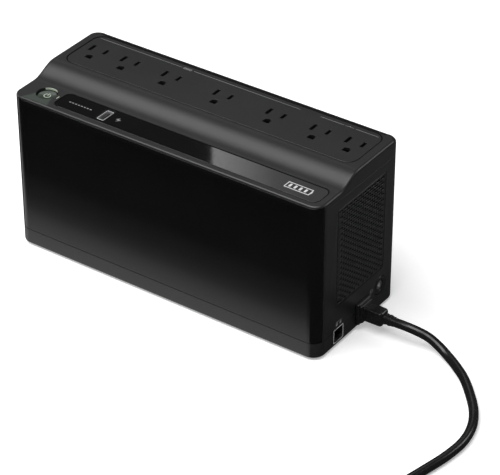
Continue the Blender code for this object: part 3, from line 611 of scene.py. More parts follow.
# stations of a moulding: place, half width, half height, corner radius
PLUG_BODY = ((20.5, 5.3, 5.3, 5.2), (22.5, 7.2, 7.2, 5.4), (25.0, 9.4, 9.5, 5.4), (29.0, 10.6, 10.9, 5.4),
             (34.0, 11.1, 11.4, 5.4), (40.0, 11.6, 12.0, 5.2), (46.0, 12.1, 12.5, 5.0),
             (52.0, 12.35, 12.7, 5.0), (57.4, 12.35, 12.7, 5.0), (58.0, 11.8, 12.1, 4.5))
RELIEF_FLANGE = ((GAP, 9.0, 9.0, 1.6), (1.9, 9.0, 9.0, 1.6), (2.4, 8.85, 8.85, 1.6),
                 (2.8, 8.5, 8.5, 1.5), (3.0, 8.0, 8.0, 1.4))
RELIEF_BOOT = ((1.5, 5.4, 5.4, 5.3), (1.6, 7.3, 7.6, 1.6), (3.9, 7.3, 7.6, 1.6), (4.4, 7.1, 7.4, 1.6),
               (4.8, 6.7, 7.0, 1.5), (4.9, 5.5, 6.0, 1.9), (17.8, 5.35, 5.85, 1.9), (18.7, 5.2, 5.7, 1.9),
               (19.5, 4.7, 5.2, 1.9), (19.9, 4.1, 4.5, 1.9), (20.0, 4.0, 4.0, 3.9), (20.1, 4.3, 4.3, 4.2),
               (21.8, 4.3, 4.3, 4.2), (22.0, 3.8, 3.8, 3.7), (23.4, 3.8, 3.8, 3.7), (23.6, 4.2, 4.2, 4.1),
               (25.2, 4.2, 4.2, 4.1), (25.4, 3.8, 3.8, 3.7))


def plug_shell():
    """The plug's moulding: ribbed tail, a body that widens to the face, and finger grips."""
    low, high = box_mm("plug_body")
    x, z = (low.x + high.x) / 2, TAIL_Z / MM
    stations = [(low.y, 3.9, 3.9, 3.8)]
    for rib in range(6):
        start = low.y + 1.2 + rib * 3.0
        wide = 4.1 + 0.22 * rib
        thin = wide - 0.6
        stations += [(start, wide, wide, wide - 0.1), (start + 1.5, wide, wide, wide - 0.1),
                     (start + 1.7, thin, thin, wide - 0.7), (start + 2.8, thin, thin, wide - 0.7)]
    stations += [(low.y + place, *rest) for place, *rest in PLUG_BODY]
    shell = lofted("plug_moulding", CORD, "Y", (x, z), stations, 50.0)
    grips = bmesh.new()
    for side in (-1, 1):
        for rib in range(5):
            slab_into(grips, (*around(x + side * 12.2, 0.9), *around(low.y + 37.0 + rib * 3.6, 0.7)),
                      (z - 6.5, z + 6.5), 0.6, 0.3, 0.3, 3)
    cut(shell, piece("plug_grips", grips, None))
    return finished(shell, "cord", "plug_body", sharp=45.0)


def plug_blade(node):
    """A flat blade with a tapered tip and a hole near it."""
    low, high = box_mm(node)
    rings = []
    for place, inset in ((low.y, 0.0), (high.y - 2.4, 0.0), (high.y - 0.6, 0.28), (high.y, 0.45)):
        outline = rect_outline(low.x + inset, high.x - inset, low.z + inset * 3, high.z - inset * 3, 0.35, 3)
        rings.append(lifted(outline, place, "Y"))
    bm = bmesh.new()
    skin(bm, rings)
    blade = piece(node + "_stamped", bm, STEEL)
    eye = ((low.x + high.x) / 2, high.y - 5.0, (low.z + high.z) / 2)
    cut(blade, cylinder_cutter("blade_eye", "X", (eye,), 1.6, (-2.0, 2.0), 24))
    return finished(blade, "steel", node, sharp=35.0)


def ground_pin():
    low, high = box_mm("plug_ground_pin")
    centre = middle("plug_ground_pin")
    radius = (high.x - low.x) / 2
    length = high.y - low.y
    profile = ((0.0, 0.0), (radius, 0.0), (radius, length - 2.2), (radius * 0.86, length - 0.9),
               (radius * 0.5, length - 0.15), (0.0, length))
    pin = turned("ground_pin_turned", STEEL, profile, (centre.x, low.y, centre.z), "Y", 32)
    return placed(even(pin), "steel", "plug_ground_pin")


def strain_relief():
    """Square flange with a stepped block, then a slotted taper round the cord."""
    low, high = box_mm("strain_relief")
    centre = (CORD_EXIT[1] / MM, CORD_EXIT[2] / MM)
    flange = [(HALF_W + place, *rest) for place, *rest in RELIEF_FLANGE]
    flange = lofted("relief_flange", CORD, "X", centre, flange)
    boot = [(HALF_W + place, *rest) for place, *rest in RELIEF_BOOT]
    boot = lofted("relief_boot", CORD, "X", centre,
                  [(low.x, 5.4, 5.4, 5.3), *boot, (high.x, 3.75, 3.75, 3.7)], 45.0)
    combine(boot, "UNION", flange)
    return finished(boot, "cord", "strain_relief", width=0.15, sharp=50.0)


CORD_FLEX = cord()
CORD_PIECES = [strain_relief(), cord_strap(), plug_shell(), plug_blade("plug_blade_line"),
               plug_blade("plug_blade_neutral"), ground_pin()]


# ---- case ----------------------------------------------------------------------------------
def crown(y):
    """Height of the top surface: low ledge, S-curve, then the outlet deck."""
    return LEDGE + (DECK - LEDGE) * eased(y, S_FRONT, S_REAR)


def corner_arc(centre, start, swing, edges, steps=14):
    """Plan points (x, y, drop) round one corner while its edge rounding grows or shrinks."""
    points = []
    for step in range(steps + 1):
        share = step / steps
        angle = math.radians(start + 90 * share)
        edge = edges[0] + (edges[1] - edges[0]) * share
        reach = CORNER - edge * (1 - math.cos(swing))
        points.append((*polar(centre, reach, angle), edge * (1 - math.sin(swing))))
    return points


def cover_ring(swing, side_y):
    """Plan points (x, y, drop) of the cover, swing radians up its rounded top edge."""
    cx, cy = HALF_W - CORNER, HALF_D - CORNER
    inset, drop = EDGE_SIDE * (1 - math.cos(swing)), EDGE_SIDE * (1 - math.sin(swing))
    half = corner_arc((cx, -cy), -90, swing, (EDGE_FRONT, EDGE_SIDE))
    half += [(HALF_W - inset, y, drop) for y in side_y]
    half += corner_arc((cx, cy), 0, swing, (EDGE_SIDE, EDGE_REAR))
    return half + [(-x, y, drop) for x, y, drop in reversed(half)]


def cover_form():
    """The cover's outer form with a smooth S-shaped crown and a rounded top edge."""
    s_steps, edge_steps = 36, 10
    side_y = [S_FRONT + (S_REAR - S_FRONT) * i / s_steps for i in range(s_steps + 1)]
    rings = [[(x, y, COVER_FOOT) for x, y, _ in cover_ring(0.0, side_y)]]
    for step in range(edge_steps + 1):
        ring = cover_ring(math.radians(90 * step / edge_steps), side_y)
        rings.append([(x, y, crown(y) - drop) for x, y, drop in ring])
    bm = bmesh.new()
    top = skin(bm, rings, top=False)[-1]
    count = len(top)
    for i in range(count // 2 - 1):
        bm.faces.new((top[i], top[i + 1], top[count - 2 - i], top[count - 1 - i]))
    return piece("cover_shell", bm, MATTE)


def front_arc(inset, end, steps=14):
    """Plan points, left to right, round the front of the case as far back as end."""
    cx, cy = HALF_W - CORNER, CORNER - HALF_D
    radius = CORNER - inset
    swing = math.acos((cy - end) / radius)
    right = []
    for step in range(steps + 1):
        angle = swing * step / steps
        right.append((cx + radius * math.sin(angle), cy - radius * math.cos(angle)))
    return [(-x, y) for x, y in reversed(right)] + right


def front_wrap(name, material, insets, end, z, sharp=35.0):
    """A thin wall that follows the front and both front corners of the case."""
    bm = bmesh.new()
    prism_into(bm, front_arc(insets[0], end) + front_arc(insets[1], end)[::-1], z)
    return piece(name, bm, material, sharp)


def panel_rebate(z):
    return front_wrap("panel_rebate", None, (-1.0, PANEL_THICK + GAP), PANEL_END + GAP, z)


def top_cover():
    cover = cover_form()
    inner = (-HALF_W + WALL, HALF_W - WALL, -HALF_D + FRONT_STEP, HALF_D - WALL)
    deck = (*inner[:2], S_REAR + 1, inner[3])
    whole = (LEDGE_CEILING - 3, DECK + 1)
    cut(cover, slab("cavity", None, inner, (COVER_FOOT - 5, LEDGE_CEILING), CORNER - WALL))
    cut(cover, slab("deck_cavity", None, deck, (LEDGE_CEILING - 1, DECK_CEILING), CORNER - WALL))
    cut(cover, panel_rebate((COVER_FOOT - 1, PANEL_HIGH.z + GAP)))
    cut(cover, slab("pocket", None, plan(PLATE_LOW, PLATE_HIGH, -MARGIN), (PLATE_LOW.z - GAP, DECK + 1),
                    PLATE_RADIUS + MARGIN, steps=12))
    cut(cover, slab("recess", None, plan(WINDOW_LOW, WINDOW_HIGH, -MARGIN),
                    (WINDOW_LOW.z - GAP, LEDGE + 1), WINDOW_RADIUS + MARGIN, steps=12))
    cut(cover, boxes("openings", None,
                     (*SOCKET_BAY, (LEDGE_CEILING + 3, PLATE_LOW.z)),
                     hole(USB_AT, USB_OPENING, whole), hole(LENS_AT, LENS_OPENING, whole)))
    cut(cover, cylinder_cutter("button_hole", "Z", ((BUTTON_AT.x, BUTTON_AT.y, 0.0),), BUTTON_R + 0.6, whole))
    finished(cover, "case", "top_cover", width=0.2)


def opening(node, margin=GAP, lip=0.0):
    """Y and Z spans of the hole that a side piece fills."""
    low, high = box_mm(node)
    return ((low.y + lip - margin, high.y - lip + margin), (low.z + lip - margin, high.z - lip + margin))


def housing():
    shell = slab("housing_shell", MATTE, (-HALF_W, HALF_W, -HALF_D, HALF_D), (HOUSE_LOW.z, HOUSE_HIGH.z),
                 CORNER, bottom=1.2, top=0.25, steps=14)
    inner_x, inner_y = HALF_W - WALL, HALF_D - WALL
    right, rear = (inner_x - 1, HALF_W + 1), (inner_y - 1, HALF_D + 1)
    cut(shell, slab("cavity", None, (-inner_x, inner_x, -HALF_D + FRONT_STEP, inner_y),
                    (-1, HOUSE_HIGH.z + 1), CORNER - WALL))
    groove = bmesh.new()
    foot, head, depth = PANEL_LOW.z - GAP, PANEL_LOW.z, 0.35
    collar_into(groove, (-HALF_W, HALF_W, -HALF_D, HALF_D), CORNER,
                ((foot, depth), (head, depth), (head, -1.0), (foot, -1.0)), 14)
    cut(shell, piece("base_line", groove, None))
    cut(shell, panel_rebate((PANEL_LOW.z - GAP, HOUSE_HIGH.z + 1)))
    cut(shell, boxes("openings", None,
                     (right, *opening("vent_grille_right", GAP, VENT_LIP)),
                     ((-HALF_W - 1, -inner_x + 1), *opening("vent_grille_left", GAP, VENT_LIP)),
                     (right, *opening("data_jack"))))
    cut(shell, boxes("keyhole_slots", None, *[(around(x, KEYHOLE_SLOT), rear, KEYHOLE_Z) for x in KEYHOLES]))
    heads = [(x, 0.0, KEYHOLE_Z[0]) for x in KEYHOLES]
    cut(shell, cylinder_cutter("keyhole_heads", "Y", heads, KEYHOLE_HEAD, rear, 32))
    cord_exit = (0.0, CORD_EXIT[1] / MM, CORD_EXIT[2] / MM)
    cut(shell, cylinder_cutter("inlet_hole", "X", (cord_exit,), INLET_R, right))
    breaker = (0.0, BREAKER_AT.y, BREAKER_AT.z)
    cut(shell, cylinder_cutter("breaker_hole", "X", (breaker,), BREAKER_R + GAP, right))
    finished(shell, "case", "housing", width=0.22)


def front_panel():
    """The glossy front, which bends round both corners."""
    panel = front_wrap("gloss_front", GLOSS, (0.0, PANEL_THICK), PANEL_END, (PANEL_LOW.z, PANEL_HIGH.z), 25.0)
    placed(soften(panel, 0.45, 4), "panel", "front_panel")


def vent_grille(name, node):
    """Snap-in grille: fine staggered slots inside a plain border."""
    low, high = box_mm(node)
    side = 1 if low.x > 0 else -1
    y0, y1 = low.y + VENT_LIP, high.y - VENT_LIP
    z0, z1 = low.z + VENT_LIP, high.z - VENT_LIP
    pitch, long, row_pitch, tall, columns, rows = 6.0, 4.4, 2.4, 1.5, 10, 33
    start_y = (y0 + y1) / 2 - (pitch * (columns - 1) + long) / 2
    start_z = (z0 + z1) / 2 - (row_pitch * (rows - 1) + tall) / 2
    ticks = [y0]
    for column in range(columns):
        for offset in (0.0, pitch / 2 + long - pitch, pitch / 2, long):
            ticks.append(start_y + column * pitch + offset)
    ticks = ticks[:1 + 4 * columns] + [y1]
    levels = [z0]
    for row in range(rows):
        levels += [start_z + row * row_pitch, start_z + row * row_pitch + tall]
    levels.append(z1)
    bm = bmesh.new()
    grid = [[bm.verts.new((0.0, y, z)) for y in ticks] for z in levels]
    last_shifted = 4 * columns - 3
    for i in range(len(levels) - 1):
        in_row, whole_row = i % 2 == 1, i % 4 == 1
        for j in range(len(ticks) - 1):
            phase = (j - 1) % 4
            is_open = phase != 3 if whole_row else phase != 1 and 3 <= j <= last_shifted
            if not (in_row and is_open):
                bm.faces.new((grid[i][j], grid[i][j + 1], grid[i + 1][j + 1], grid[i + 1][j]))
    bmesh.ops.translate(bm, verts=bm.verts, vec=(side * (HALF_W - 0.12), 0.0, 0.0))
    grille = piece(name, bm, MATTE, 30.0)
    thick = grille.modifiers.new("thickness", "SOLIDIFY")
    thick.thickness = 0.9 * MM
    thick.offset = -1.0 if grille.data.polygons[0].normal.x * side > 0 else 1.0
    placed(grille, "case", node)


# ---- outlets -------------------------------------------------------------------------------
def outlet_plate():
    """Plate with a wide and a narrow blade slot and an arched ground hole at each outlet."""
    inset = 0.3
    plate = slab("deck_plate", MATTE, plan(PLATE_LOW, PLATE_HIGH, inset), (PLATE_LOW.z, PRINT_LEVEL),
                 PLATE_RADIUS - inset, top=0.3, steps=12)
    whole = (PLATE_LOW.z - 1, DECK + 1)
    slots = []
    for x in OUTLETS:
        for side, half_x, half_y in ((-1, 1.35, 4.3), (1, 1.25, 3.5)):
            slots.append((around(x + side * SLOT_HALF_PITCH, half_x), around(SLOT_Y, half_y), whole))
    cut(plate, boxes("blade_slots", None, *slots))
    holes = bmesh.new()
    for x in OUTLETS:
        outline = [polar((x, GROUND_Y), GROUND_R, math.radians(180 * step / 16)) for step in range(17)]
        outline += [(x - GROUND_R, GROUND_Y - GROUND_R), (x + GROUND_R, GROUND_Y - GROUND_R)]
        prism_into(holes, outline, whole)
    cut(plate, piece("ground_holes", holes, None))
    finished(plate, "case", "outlet_plate", width=0.35)


def groove_shade_ring():
    """Near-black ring at the bottom of the gap round the outlet plate: painted shade that makes the groove
    read as a dark line.
    """
    foot, head = DECK - 1.6, DECK - 0.55
    bm = bmesh.new()
    collar_into(bm, plan(PLATE_LOW, PLATE_HIGH), PLATE_RADIUS,
                ((foot, -0.62), (head, -0.62), (head, 0.25), (foot, 0.25)), 12)
    placed(piece("groove_shade_ring", bm, GROOVE_SHADE), "rubber")


def ink(name, material, shapes, level):
    """Thin printed shapes on a flat surface; shapes are outlines of (x, y) points."""
    bm = bmesh.new()
    for outline in shapes:
        prism_into(bm, outline, (level - 0.02, level + INK_RISE))
    return placed(piece(name, bm, material), "case")


def bar(x0, x1, y0, y1):
    return rect_outline(x0, x1, y0, y1, min(x1 - x0, y1 - y0) * 0.3, 2)


def battery_mark(x, y, length, height, cells, line=0.3):
    """A plain battery pictogram: frame, nub and charge cells."""
    x1, y1 = x + length, y + height
    shapes = [bar(x, x1, y, y + line), bar(x, x1, y1 - line, y1),
              bar(x, x + line, y + line, y1 - line), bar(x1 - line, x1, y + line, y1 - line),
              bar(x1 + 0.1, x1 + 0.6, y + height * 0.3, y1 - height * 0.3)]
    pitch = (length - 2 * line - 0.5) / max(cells, 1)
    for cell in range(cells):
        start = x + line + 0.4 + cell * pitch
        shapes.append(bar(start, start + pitch - 0.35, y + line + 0.35, y1 - line - 0.35))
    return shapes


def wave_mark(x, y, length, height, line=0.32):
    """A plain surge pictogram: a flat line with one spike."""
    level, peak = y + height / 2, y + height
    left, centre, right = x + length * 0.32, x + length / 2, x + length * 0.68
    stroke = (level - line / 2, level + line / 2)
    return [bar(x, left, *stroke), bar(right, x + length, *stroke),
            [(left, level - line), (centre, peak), (centre, peak - 0.8), (x + length * 0.36, level - line)],
            [(centre, peak), (right, level - line), (x + length * 0.64, level - line), (centre, peak - 0.8)]]


def outlet_print():
    line_y = (40.6, 40.95)
    backup_x = (OUTLETS[0] - 10.0, OUTLETS[4] + 11.0)
    surge_x = (OUTLETS[5] - 10.0, OUTLETS[6] + 10.0)
    backup_mark, surge_mark = -47.0, 97.0
    shapes = [bar(backup_x[0], backup_mark - 1.5, *line_y), bar(backup_mark + 9.5, backup_x[1], *line_y)]
    shapes += battery_mark(backup_mark, 39.7, 7.0, 2.2, 4, 0.28)
    shapes += [bar(surge_x[0], surge_mark - 1.5, *line_y), bar(surge_mark + 8.5, surge_x[1], *line_y)]
    shapes += wave_mark(surge_mark, 39.6, 7.0, 2.4)
    ink("outlet_group_print", INK, shapes, PRINT_LEVEL)


# ---- ledge ---------------------------------------------------------------------------------
def status_window():
    window = slab("tinted_window", SMOKED, plan(WINDOW_LOW, WINDOW_HIGH, 0.05), (WINDOW_LOW.z, WINDOW_HIGH.z),
                  WINDOW_RADIUS, top=0.3, steps=12)
    cut(window, boxes("port", None, hole(USB_AT, USB_OPENING, (WINDOW_LOW.z - 2, LEDGE + 2))))
    finished(window, "window", "status_window", width=0.12)


def window_print():
    """A row of dashes, a bolt and a level gauge printed on the window."""
    level = WINDOW_HIGH.z
    y = (WINDOW_LOW.y + WINDOW_HIGH.y) / 2
    shapes = [bar(-94.0 + i * 2.7, -92.3 + i * 2.7, y - 0.3, y + 0.8) for i in range(8)]
    bolt = [(-51.0, y + 0.2), (-48.2, y + 3.0), (-48.9, y + 0.6), (-46.6, y + 0.6), (-49.6, y - 2.6),
            (-48.7, y + 0.2)]
    ink("window_small_print", INK, shapes + [bolt], level)
    gauge = battery_mark(99.0, y - 4.0, 21.0, 7.4, 0, 0.75)
    gauge += [bar(101.6 + i * 4.3, 103.4 + i * 4.3, y - 2.3, y + 1.7) for i in range(4)]
    ink("window_gauge_print", PALE_INK, gauge, level)


def power_button():
    """Dished cap with a flange that holds it under the cover, and a stem down to its switch."""
    low, high = box_mm("power_button")
    top = high.z
    radius = BUTTON_R
    profile = [(0.0, top - 0.55), (2.0, top - 0.5), (4.5, top - 0.32), (radius - 1.2, top - 0.06),
               (radius - 0.7, top), (radius - 0.35, top - 0.06), (radius - 0.1, top - 0.3),
               (radius, top - 0.7), (radius, top - 3.4), (radius + 1.6, top - 3.4),
               (radius + 1.6, top - 4.6), (2.2, top - 4.6), (2.2, low.z), (0.0, low.z)]
    cap = turned("button_cap", BUTTON, profile, (BUTTON_AT.x, BUTTON_AT.y, 0.0), steps=72)
    placed(even(cap), "button", "power_button", body="power_button")


def button_symbol():
    """The plain on/off symbol moulded into the cap."""
    top = box_mm("power_button")[1].z
    foot, face = top - 0.55, top - 0.3
    gap_half = math.radians(32)
    steps = 28
    rings = []
    for step in range(steps + 1):
        angle = math.pi / 2 + gap_half + (2 * math.pi - 2 * gap_half) * step / steps
        rings.append([(*polar(BUTTON_AT, reach, angle), height)
                      for reach, height in ((2.15, foot), (2.75, foot), (2.75, face), (2.15, face))])
    bm = bmesh.new()
    skin(bm, rings)
    slab_into(bm, (*around(BUTTON_AT.x, 0.32), BUTTON_AT.y + 0.4, BUTTON_AT.y + 3.4), (foot, face), 0.28)
    placed(even(piece("button_symbol", bm, PALE_SYMBOL_AND_HIGHLIGHT)), "button", body="power_button")


def button_well_highlight():
    """A pale crescent on the rear of the button's well: a painted highlight that stands for the reflection on
    the well's rear wall.
    """
    inner, outer = BUTTON_R + 0.12, BUTTON_R + 0.62
    heading, reach, steps = math.radians(97), math.radians(40), 24
    rings = []
    for step in range(steps + 1):
        angle = heading - reach + 2 * reach * step / steps
        near = outer - (outer - inner) * math.sin(math.pi * (0.06 + 0.88 * step / steps))
        corners = ((near, LEDGE - 1.6), (outer, LEDGE - 1.6), (outer, LEDGE - 0.15), (near, LEDGE - 0.25))
        rings.append([(*polar(BUTTON_AT, radius, angle), height) for radius, height in corners])
    bm = bmesh.new()
    skin(bm, rings)
    # the pale crescent is a painted highlight, not a light guide
    placed(even(piece("button_well_highlight", bm, PALE_SYMBOL_AND_HIGHLIGHT)), "lens")


def button_apron():
    """Coloured inlay on the ledge in front of the button."""
    x, y = BUTTON_AT.x, BUTTON_AT.y
    front = -HALF_D + EDGE_FRONT + 0.1
    outline = [polar(BUTTON_AT, BUTTON_R + 0.9, math.radians(205 + 130 * step / 16)) for step in range(17)]
    outline += [(x + 8.6, y - 8.0), (x + 11.0, front), (x - 12.5, front), (x - 9.0, y - 8.0)]
    bm = bmesh.new()
    prism_into(bm, outline, (LEDGE - 0.05, LEDGE + 0.04))
    placed(piece("button_apron", bm, APRON), "case")


def button_well():
    """A guide sleeve under the cover: the gap round the pressed cap shows it and not the hollow inside."""
    inner, outer = BUTTON_R + 1.75, BUTTON_R + 2.02
    foot, head = LEDGE - 8.1, LEDGE - 3.4
    profile = [(inner, foot), (outer, foot), (outer, head), (inner, head)]
    sleeve = turned("button_sleeve", MATTE, profile, (BUTTON_AT.x, BUTTON_AT.y, 0.0), steps=72)
    placed(even(sleeve), "case")


def light_pipe():
    low, high = box_mm("light_pipe")
    lens = slab("light_lens", LENS_GLOW, plan(low, high), (low.z, high.z), 0.45, top=0.2, steps=5)
    placed(even(lens), "lens", "light_pipe")


def charging_port():
    low, high = box_mm("usb_shell")
    shell = slab("port_shell", PORT_STEEL, plan(low, high), (low.z, high.z), 0.7, steps=5)
    cut(shell, slab("port_cavity", None, plan(low, high, 0.55), (117.0, high.z + 2), 0.5, steps=5))
    finished(shell, "steel", "usb_shell", width=0.1)
    low, high = box_mm("usb_tongue")
    tongue = slab("port_tongue", NYLON, plan(low, high), (low.z, high.z), 0.4, top=0.3, steps=4)
    placed(even(tongue), "nylon", "usb_tongue")
    bm = bmesh.new()
    for index in range(4):
        rect = (high.x - 0.02, high.x + 0.14, *around(low.y + 1.9 + index * 2.5, 0.5))
        slab_into(bm, rect, (low.z + 2.0, high.z - 0.7), 0.05, steps=2)
    placed(piece("port_contacts", bm, BRASS), "brass")


# ---- right side ----------------------------------------------------------------------------
def data_port():
    """Modular jack with a mouth and a latch slot, and a printed frame round it."""
    low, high = box_mm("data_jack")
    bm = bmesh.new()
    slab_into(bm, (low.y, high.y, low.z, high.z), (low.x, high.x), 0.8, top=0.3, steps=5, axis="X")
    jack = piece("jack_body", bm, NYLON)
    for name, half, foot, head in (("mouth", 5.6, -3.4, 4.6), ("latch", 2.8, -5.0, -2.0)):
        cut(jack, boxes(name, None, ((121.0, high.x + 1), around(JACK_AT.y, half),
                                     (JACK_AT.z + foot, JACK_AT.z + head))))
    finished(jack, "nylon", "data_jack", width=0.2)
    jack_contacts()
    rings = []
    for half_y, half_z, rise in ((6.25, 6.05, -0.05), (6.25, 6.05, 0.05),
                                 (5.75, 5.55, 0.05), (5.75, 5.55, -0.05)):
        outline = rect_outline(*around(JACK_AT.y, half_y), *around(JACK_AT.z, half_z), 0.5, 3)
        rings.append(lifted(outline, high.x + rise, "X"))
    bm = bmesh.new()
    skin(bm, rings, closed=True)
    placed(piece("jack_frame_print", bm, PALE_INK), "nylon")


def jack_contacts():
    """Eight spring wires that arch down from the jack's roof."""
    octagon = ((1, 0), (0.7, 0.7), (0, 1), (-0.7, 0.7), (-1, 0), (-0.7, -0.7), (0, -1), (0.7, -0.7))
    bm = bmesh.new()
    for index in range(8):
        y = JACK_AT.y - 3.57 + index * 1.02
        start, end = Vector((122.0, y, JACK_AT.z + 4.3)), Vector((134.0, y, JACK_AT.z + 1.2))
        rings = []
        for step in range(7):
            point = start.lerp(end, step / 6) + Vector((0, 0, 0.5 * math.sin(math.pi * step / 6)))
            rings.append([(point.x, point.y + 0.2 * c, point.z + 0.2 * s) for c, s in octagon])
        skin(bm, rings)
    placed(piece("jack_contacts", bm, BRASS, 60.0), "brass")


def side_marks():
    """Plain marks over the data port and beside the breaker."""
    bm = bmesh.new()
    face = (HALF_W - 0.03, HALF_W + INK_RISE)

    def mark(y0, y1, z0, z1, radius=0.12):
        slab_into(bm, (y0, y1, z0, z1), face, radius, steps=2, axis="X")

    y, base = JACK_AT.y, JACK_AT.z + 8.4
    mark(y - 3.4, y - 1.2, base, base + 1.8)
    mark(y - 2.5, y - 2.1, base + 1.9, base + 2.8)
    mark(y - 3.9, y + 3.9, base + 2.9, base + 3.2)
    mark(y + 1.2, y + 3.4, base, base + 1.8)
    mark(y + 2.1, y + 2.5, base + 1.9, base + 2.8)
    start = BREAKER_AT.y - 13.2
    mark(start, start + 0.35, BREAKER_AT.z - 1.0, BREAKER_AT.z + 3.0)
    for step in range(10):
        y, z = polar((start + 1.9, BREAKER_AT.z + 1.0), 1.2, math.radians(-150 + step * 28))
        mark(*around(y, 0.22), *around(z, 0.22), 0.1)
    placed(piece("side_print", bm, INK), "case")


def circuit_breaker():
    """Bezel with a turned rim."""
    low, high = box_mm("breaker_body")
    face = high.x
    profile = [(0.0, low.x), (5.9, low.x), (5.9, face - 2.2), (BREAKER_R, face - 2.2),
               (BREAKER_R, face - 0.35), (BREAKER_R - 0.35, face), (6.4, face), (6.2, face - 0.35),
               (5.6, face - 0.35), (5.4, face), (4.5, face), (4.1, face - 0.4), (4.1, 120.0), (0.0, 120.0)]
    body = turned("breaker_bezel", CORD, profile, (0.0, BREAKER_AT.y, BREAKER_AT.z), "X", 56)
    placed(even(body), "nylon", "breaker_body")


def breaker_button():
    """Reset button with a dished face and a plain printed mark."""
    low, high = box_mm("breaker_reset")
    y, z = BREAKER_AT.y, BREAKER_AT.z
    face = high.x
    radius = (high.y - low.y) / 2
    profile = [(0.0, face - 0.5), (1.4, face - 0.46), (2.4, face - 0.25), (2.8, face),
               (radius - 0.35, face - 0.12), (radius, face - 0.6), (radius, low.x), (0.0, low.x)]
    button = turned("breaker_button", RESET_CAP, profile, (0.0, y, z), "X", 48)
    placed(even(button), "nylon", "breaker_reset", body="breaker_reset")
    bm = bmesh.new()
    for rect in ((*around(y, 0.35), *around(z, 1.5)), (y - 1.5, y - 0.5, *around(z, 0.35))):
        slab_into(bm, rect, (face - 0.5, face - 0.12), 0.2, steps=3, axis="X")
    placed(piece("breaker_button_mark", bm, PALE_INK), "nylon", body="breaker_reset")


# ---- underside -----------------------------------------------------------------------------
def feet():
    for index in range(1, 5):
        low, high = box_mm(f"foot_{index}")
        foot = slab(f"foot_pad_{index}", RUBBER, plan(low, high), (low.z, high.z), 3.3, bottom=0.5, top=0.15)
        placed(even(foot), "rubber", f"foot_{index}")


def case_screws():
    """Pan-head screws with a cross recess, heads facing down."""
    for index in range(1, 5):
        low, high = box_mm(f"case_screw_{index}")
        centre = middle(f"case_screw_{index}")
        profile = [(0.0, low.z), (1.7, low.z), (2.4, low.z + 0.3), (2.8, low.z + 0.9), (2.8, low.z + 1.9),
                   (1.2, low.z + 1.9)]
        for turn in range(9):
            z = low.z + 3.0 + turn * 1.5
            profile += [(1.2, z), (1.45, z + 0.4), (1.45, z + 0.6), (1.2, z + 1.0)]
        profile += [(1.2, high.z - 1.0), (0.3, high.z), (0.0, high.z)]
        screw = turned(f"case_screw_head_{index}", STEEL, profile, (centre.x, centre.y, 0.0), steps=32)
        for across, along in ((2.9, 0.6), (0.6, 2.9)):
            cut(screw, boxes("recess", None, (around(centre.x, across / 2), around(centre.y, along / 2),
                                              (low.z - 1.0, low.z + 1.1))))
        finished(screw, "steel", f"case_screw_{index}")


SOFTENED = {"base_pan": 0.3, "battery_door": 0.3, "battery_case": 0.4, "heat_sink": 0.2, "main_board": 0.15,
            "control_board": 0.15, "transformer_core": 0.3, "power_switch": 0.2}
SOFTENED.update({f"receptacle_{i}": 0.3 for i in range(1, 8)})

top_cover()
housing()
front_panel()
vent_grille("right_grille", "vent_grille_right")
vent_grille("left_grille", "vent_grille_left")
outlet_plate()
groove_shade_ring()
outlet_print()
status_window()
window_print()
power_button()
button_symbol()
button_well_highlight()
button_apron()
button_well()
light_pipe()
charging_port()
data_port()
side_marks()
circuit_breaker()
breaker_button()
feet()
case_screws()
for node, width in SOFTENED.items():
    soften(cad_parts[node], width)


# ---- stage and light -----------------------------------------------------------------------
def staged(obj):
    return obj


def floor():
    bm = bmesh.new()
    bmesh.ops.create_grid(bm, x_segments=1, y_segments=1, size=6000.0)
    ground = piece("floor", bm, None)
    material, tree, shader, place = shader_base("floor_paper", (0.93, 0.93, 0.93), 0.9, 0.0, 0.1)
    grain = noise(tree, place, 40.0, 2.0)
    tree.links.new(shade(tree, grain, (0.92, 0.92, 0.92), (0.94, 0.94, 0.94)), shader.inputs["Base Color"])
    shader.inputs["Emission Color"].default_value = (1.0, 1.0, 1.0, 1.0)
    shader.inputs["Emission Strength"].default_value = 0.35
    ground.data.materials.append(material)
    ground.location.z = -0.00005
    ground.visible_glossy = False
    return staged(ground)


def softbox(name, place, target, size, power):
    """A rectangular lamp; place, target and size are in metres."""
    data = bpy.data.lights.new(name, "AREA")
    data.shape = "RECTANGLE"
    data.size, data.size_y = size
    data.energy = power
    lamp = bpy.data.objects.new(name, data)
    bpy.context.scene.collection.objects.link(lamp)
    lamp.location = place
    aim = Vector(target) - Vector(place)
    lamp.rotation_euler = aim.to_track_quat("-Z", "Y").to_euler()
    lamp.visible_camera = False
    return lamp


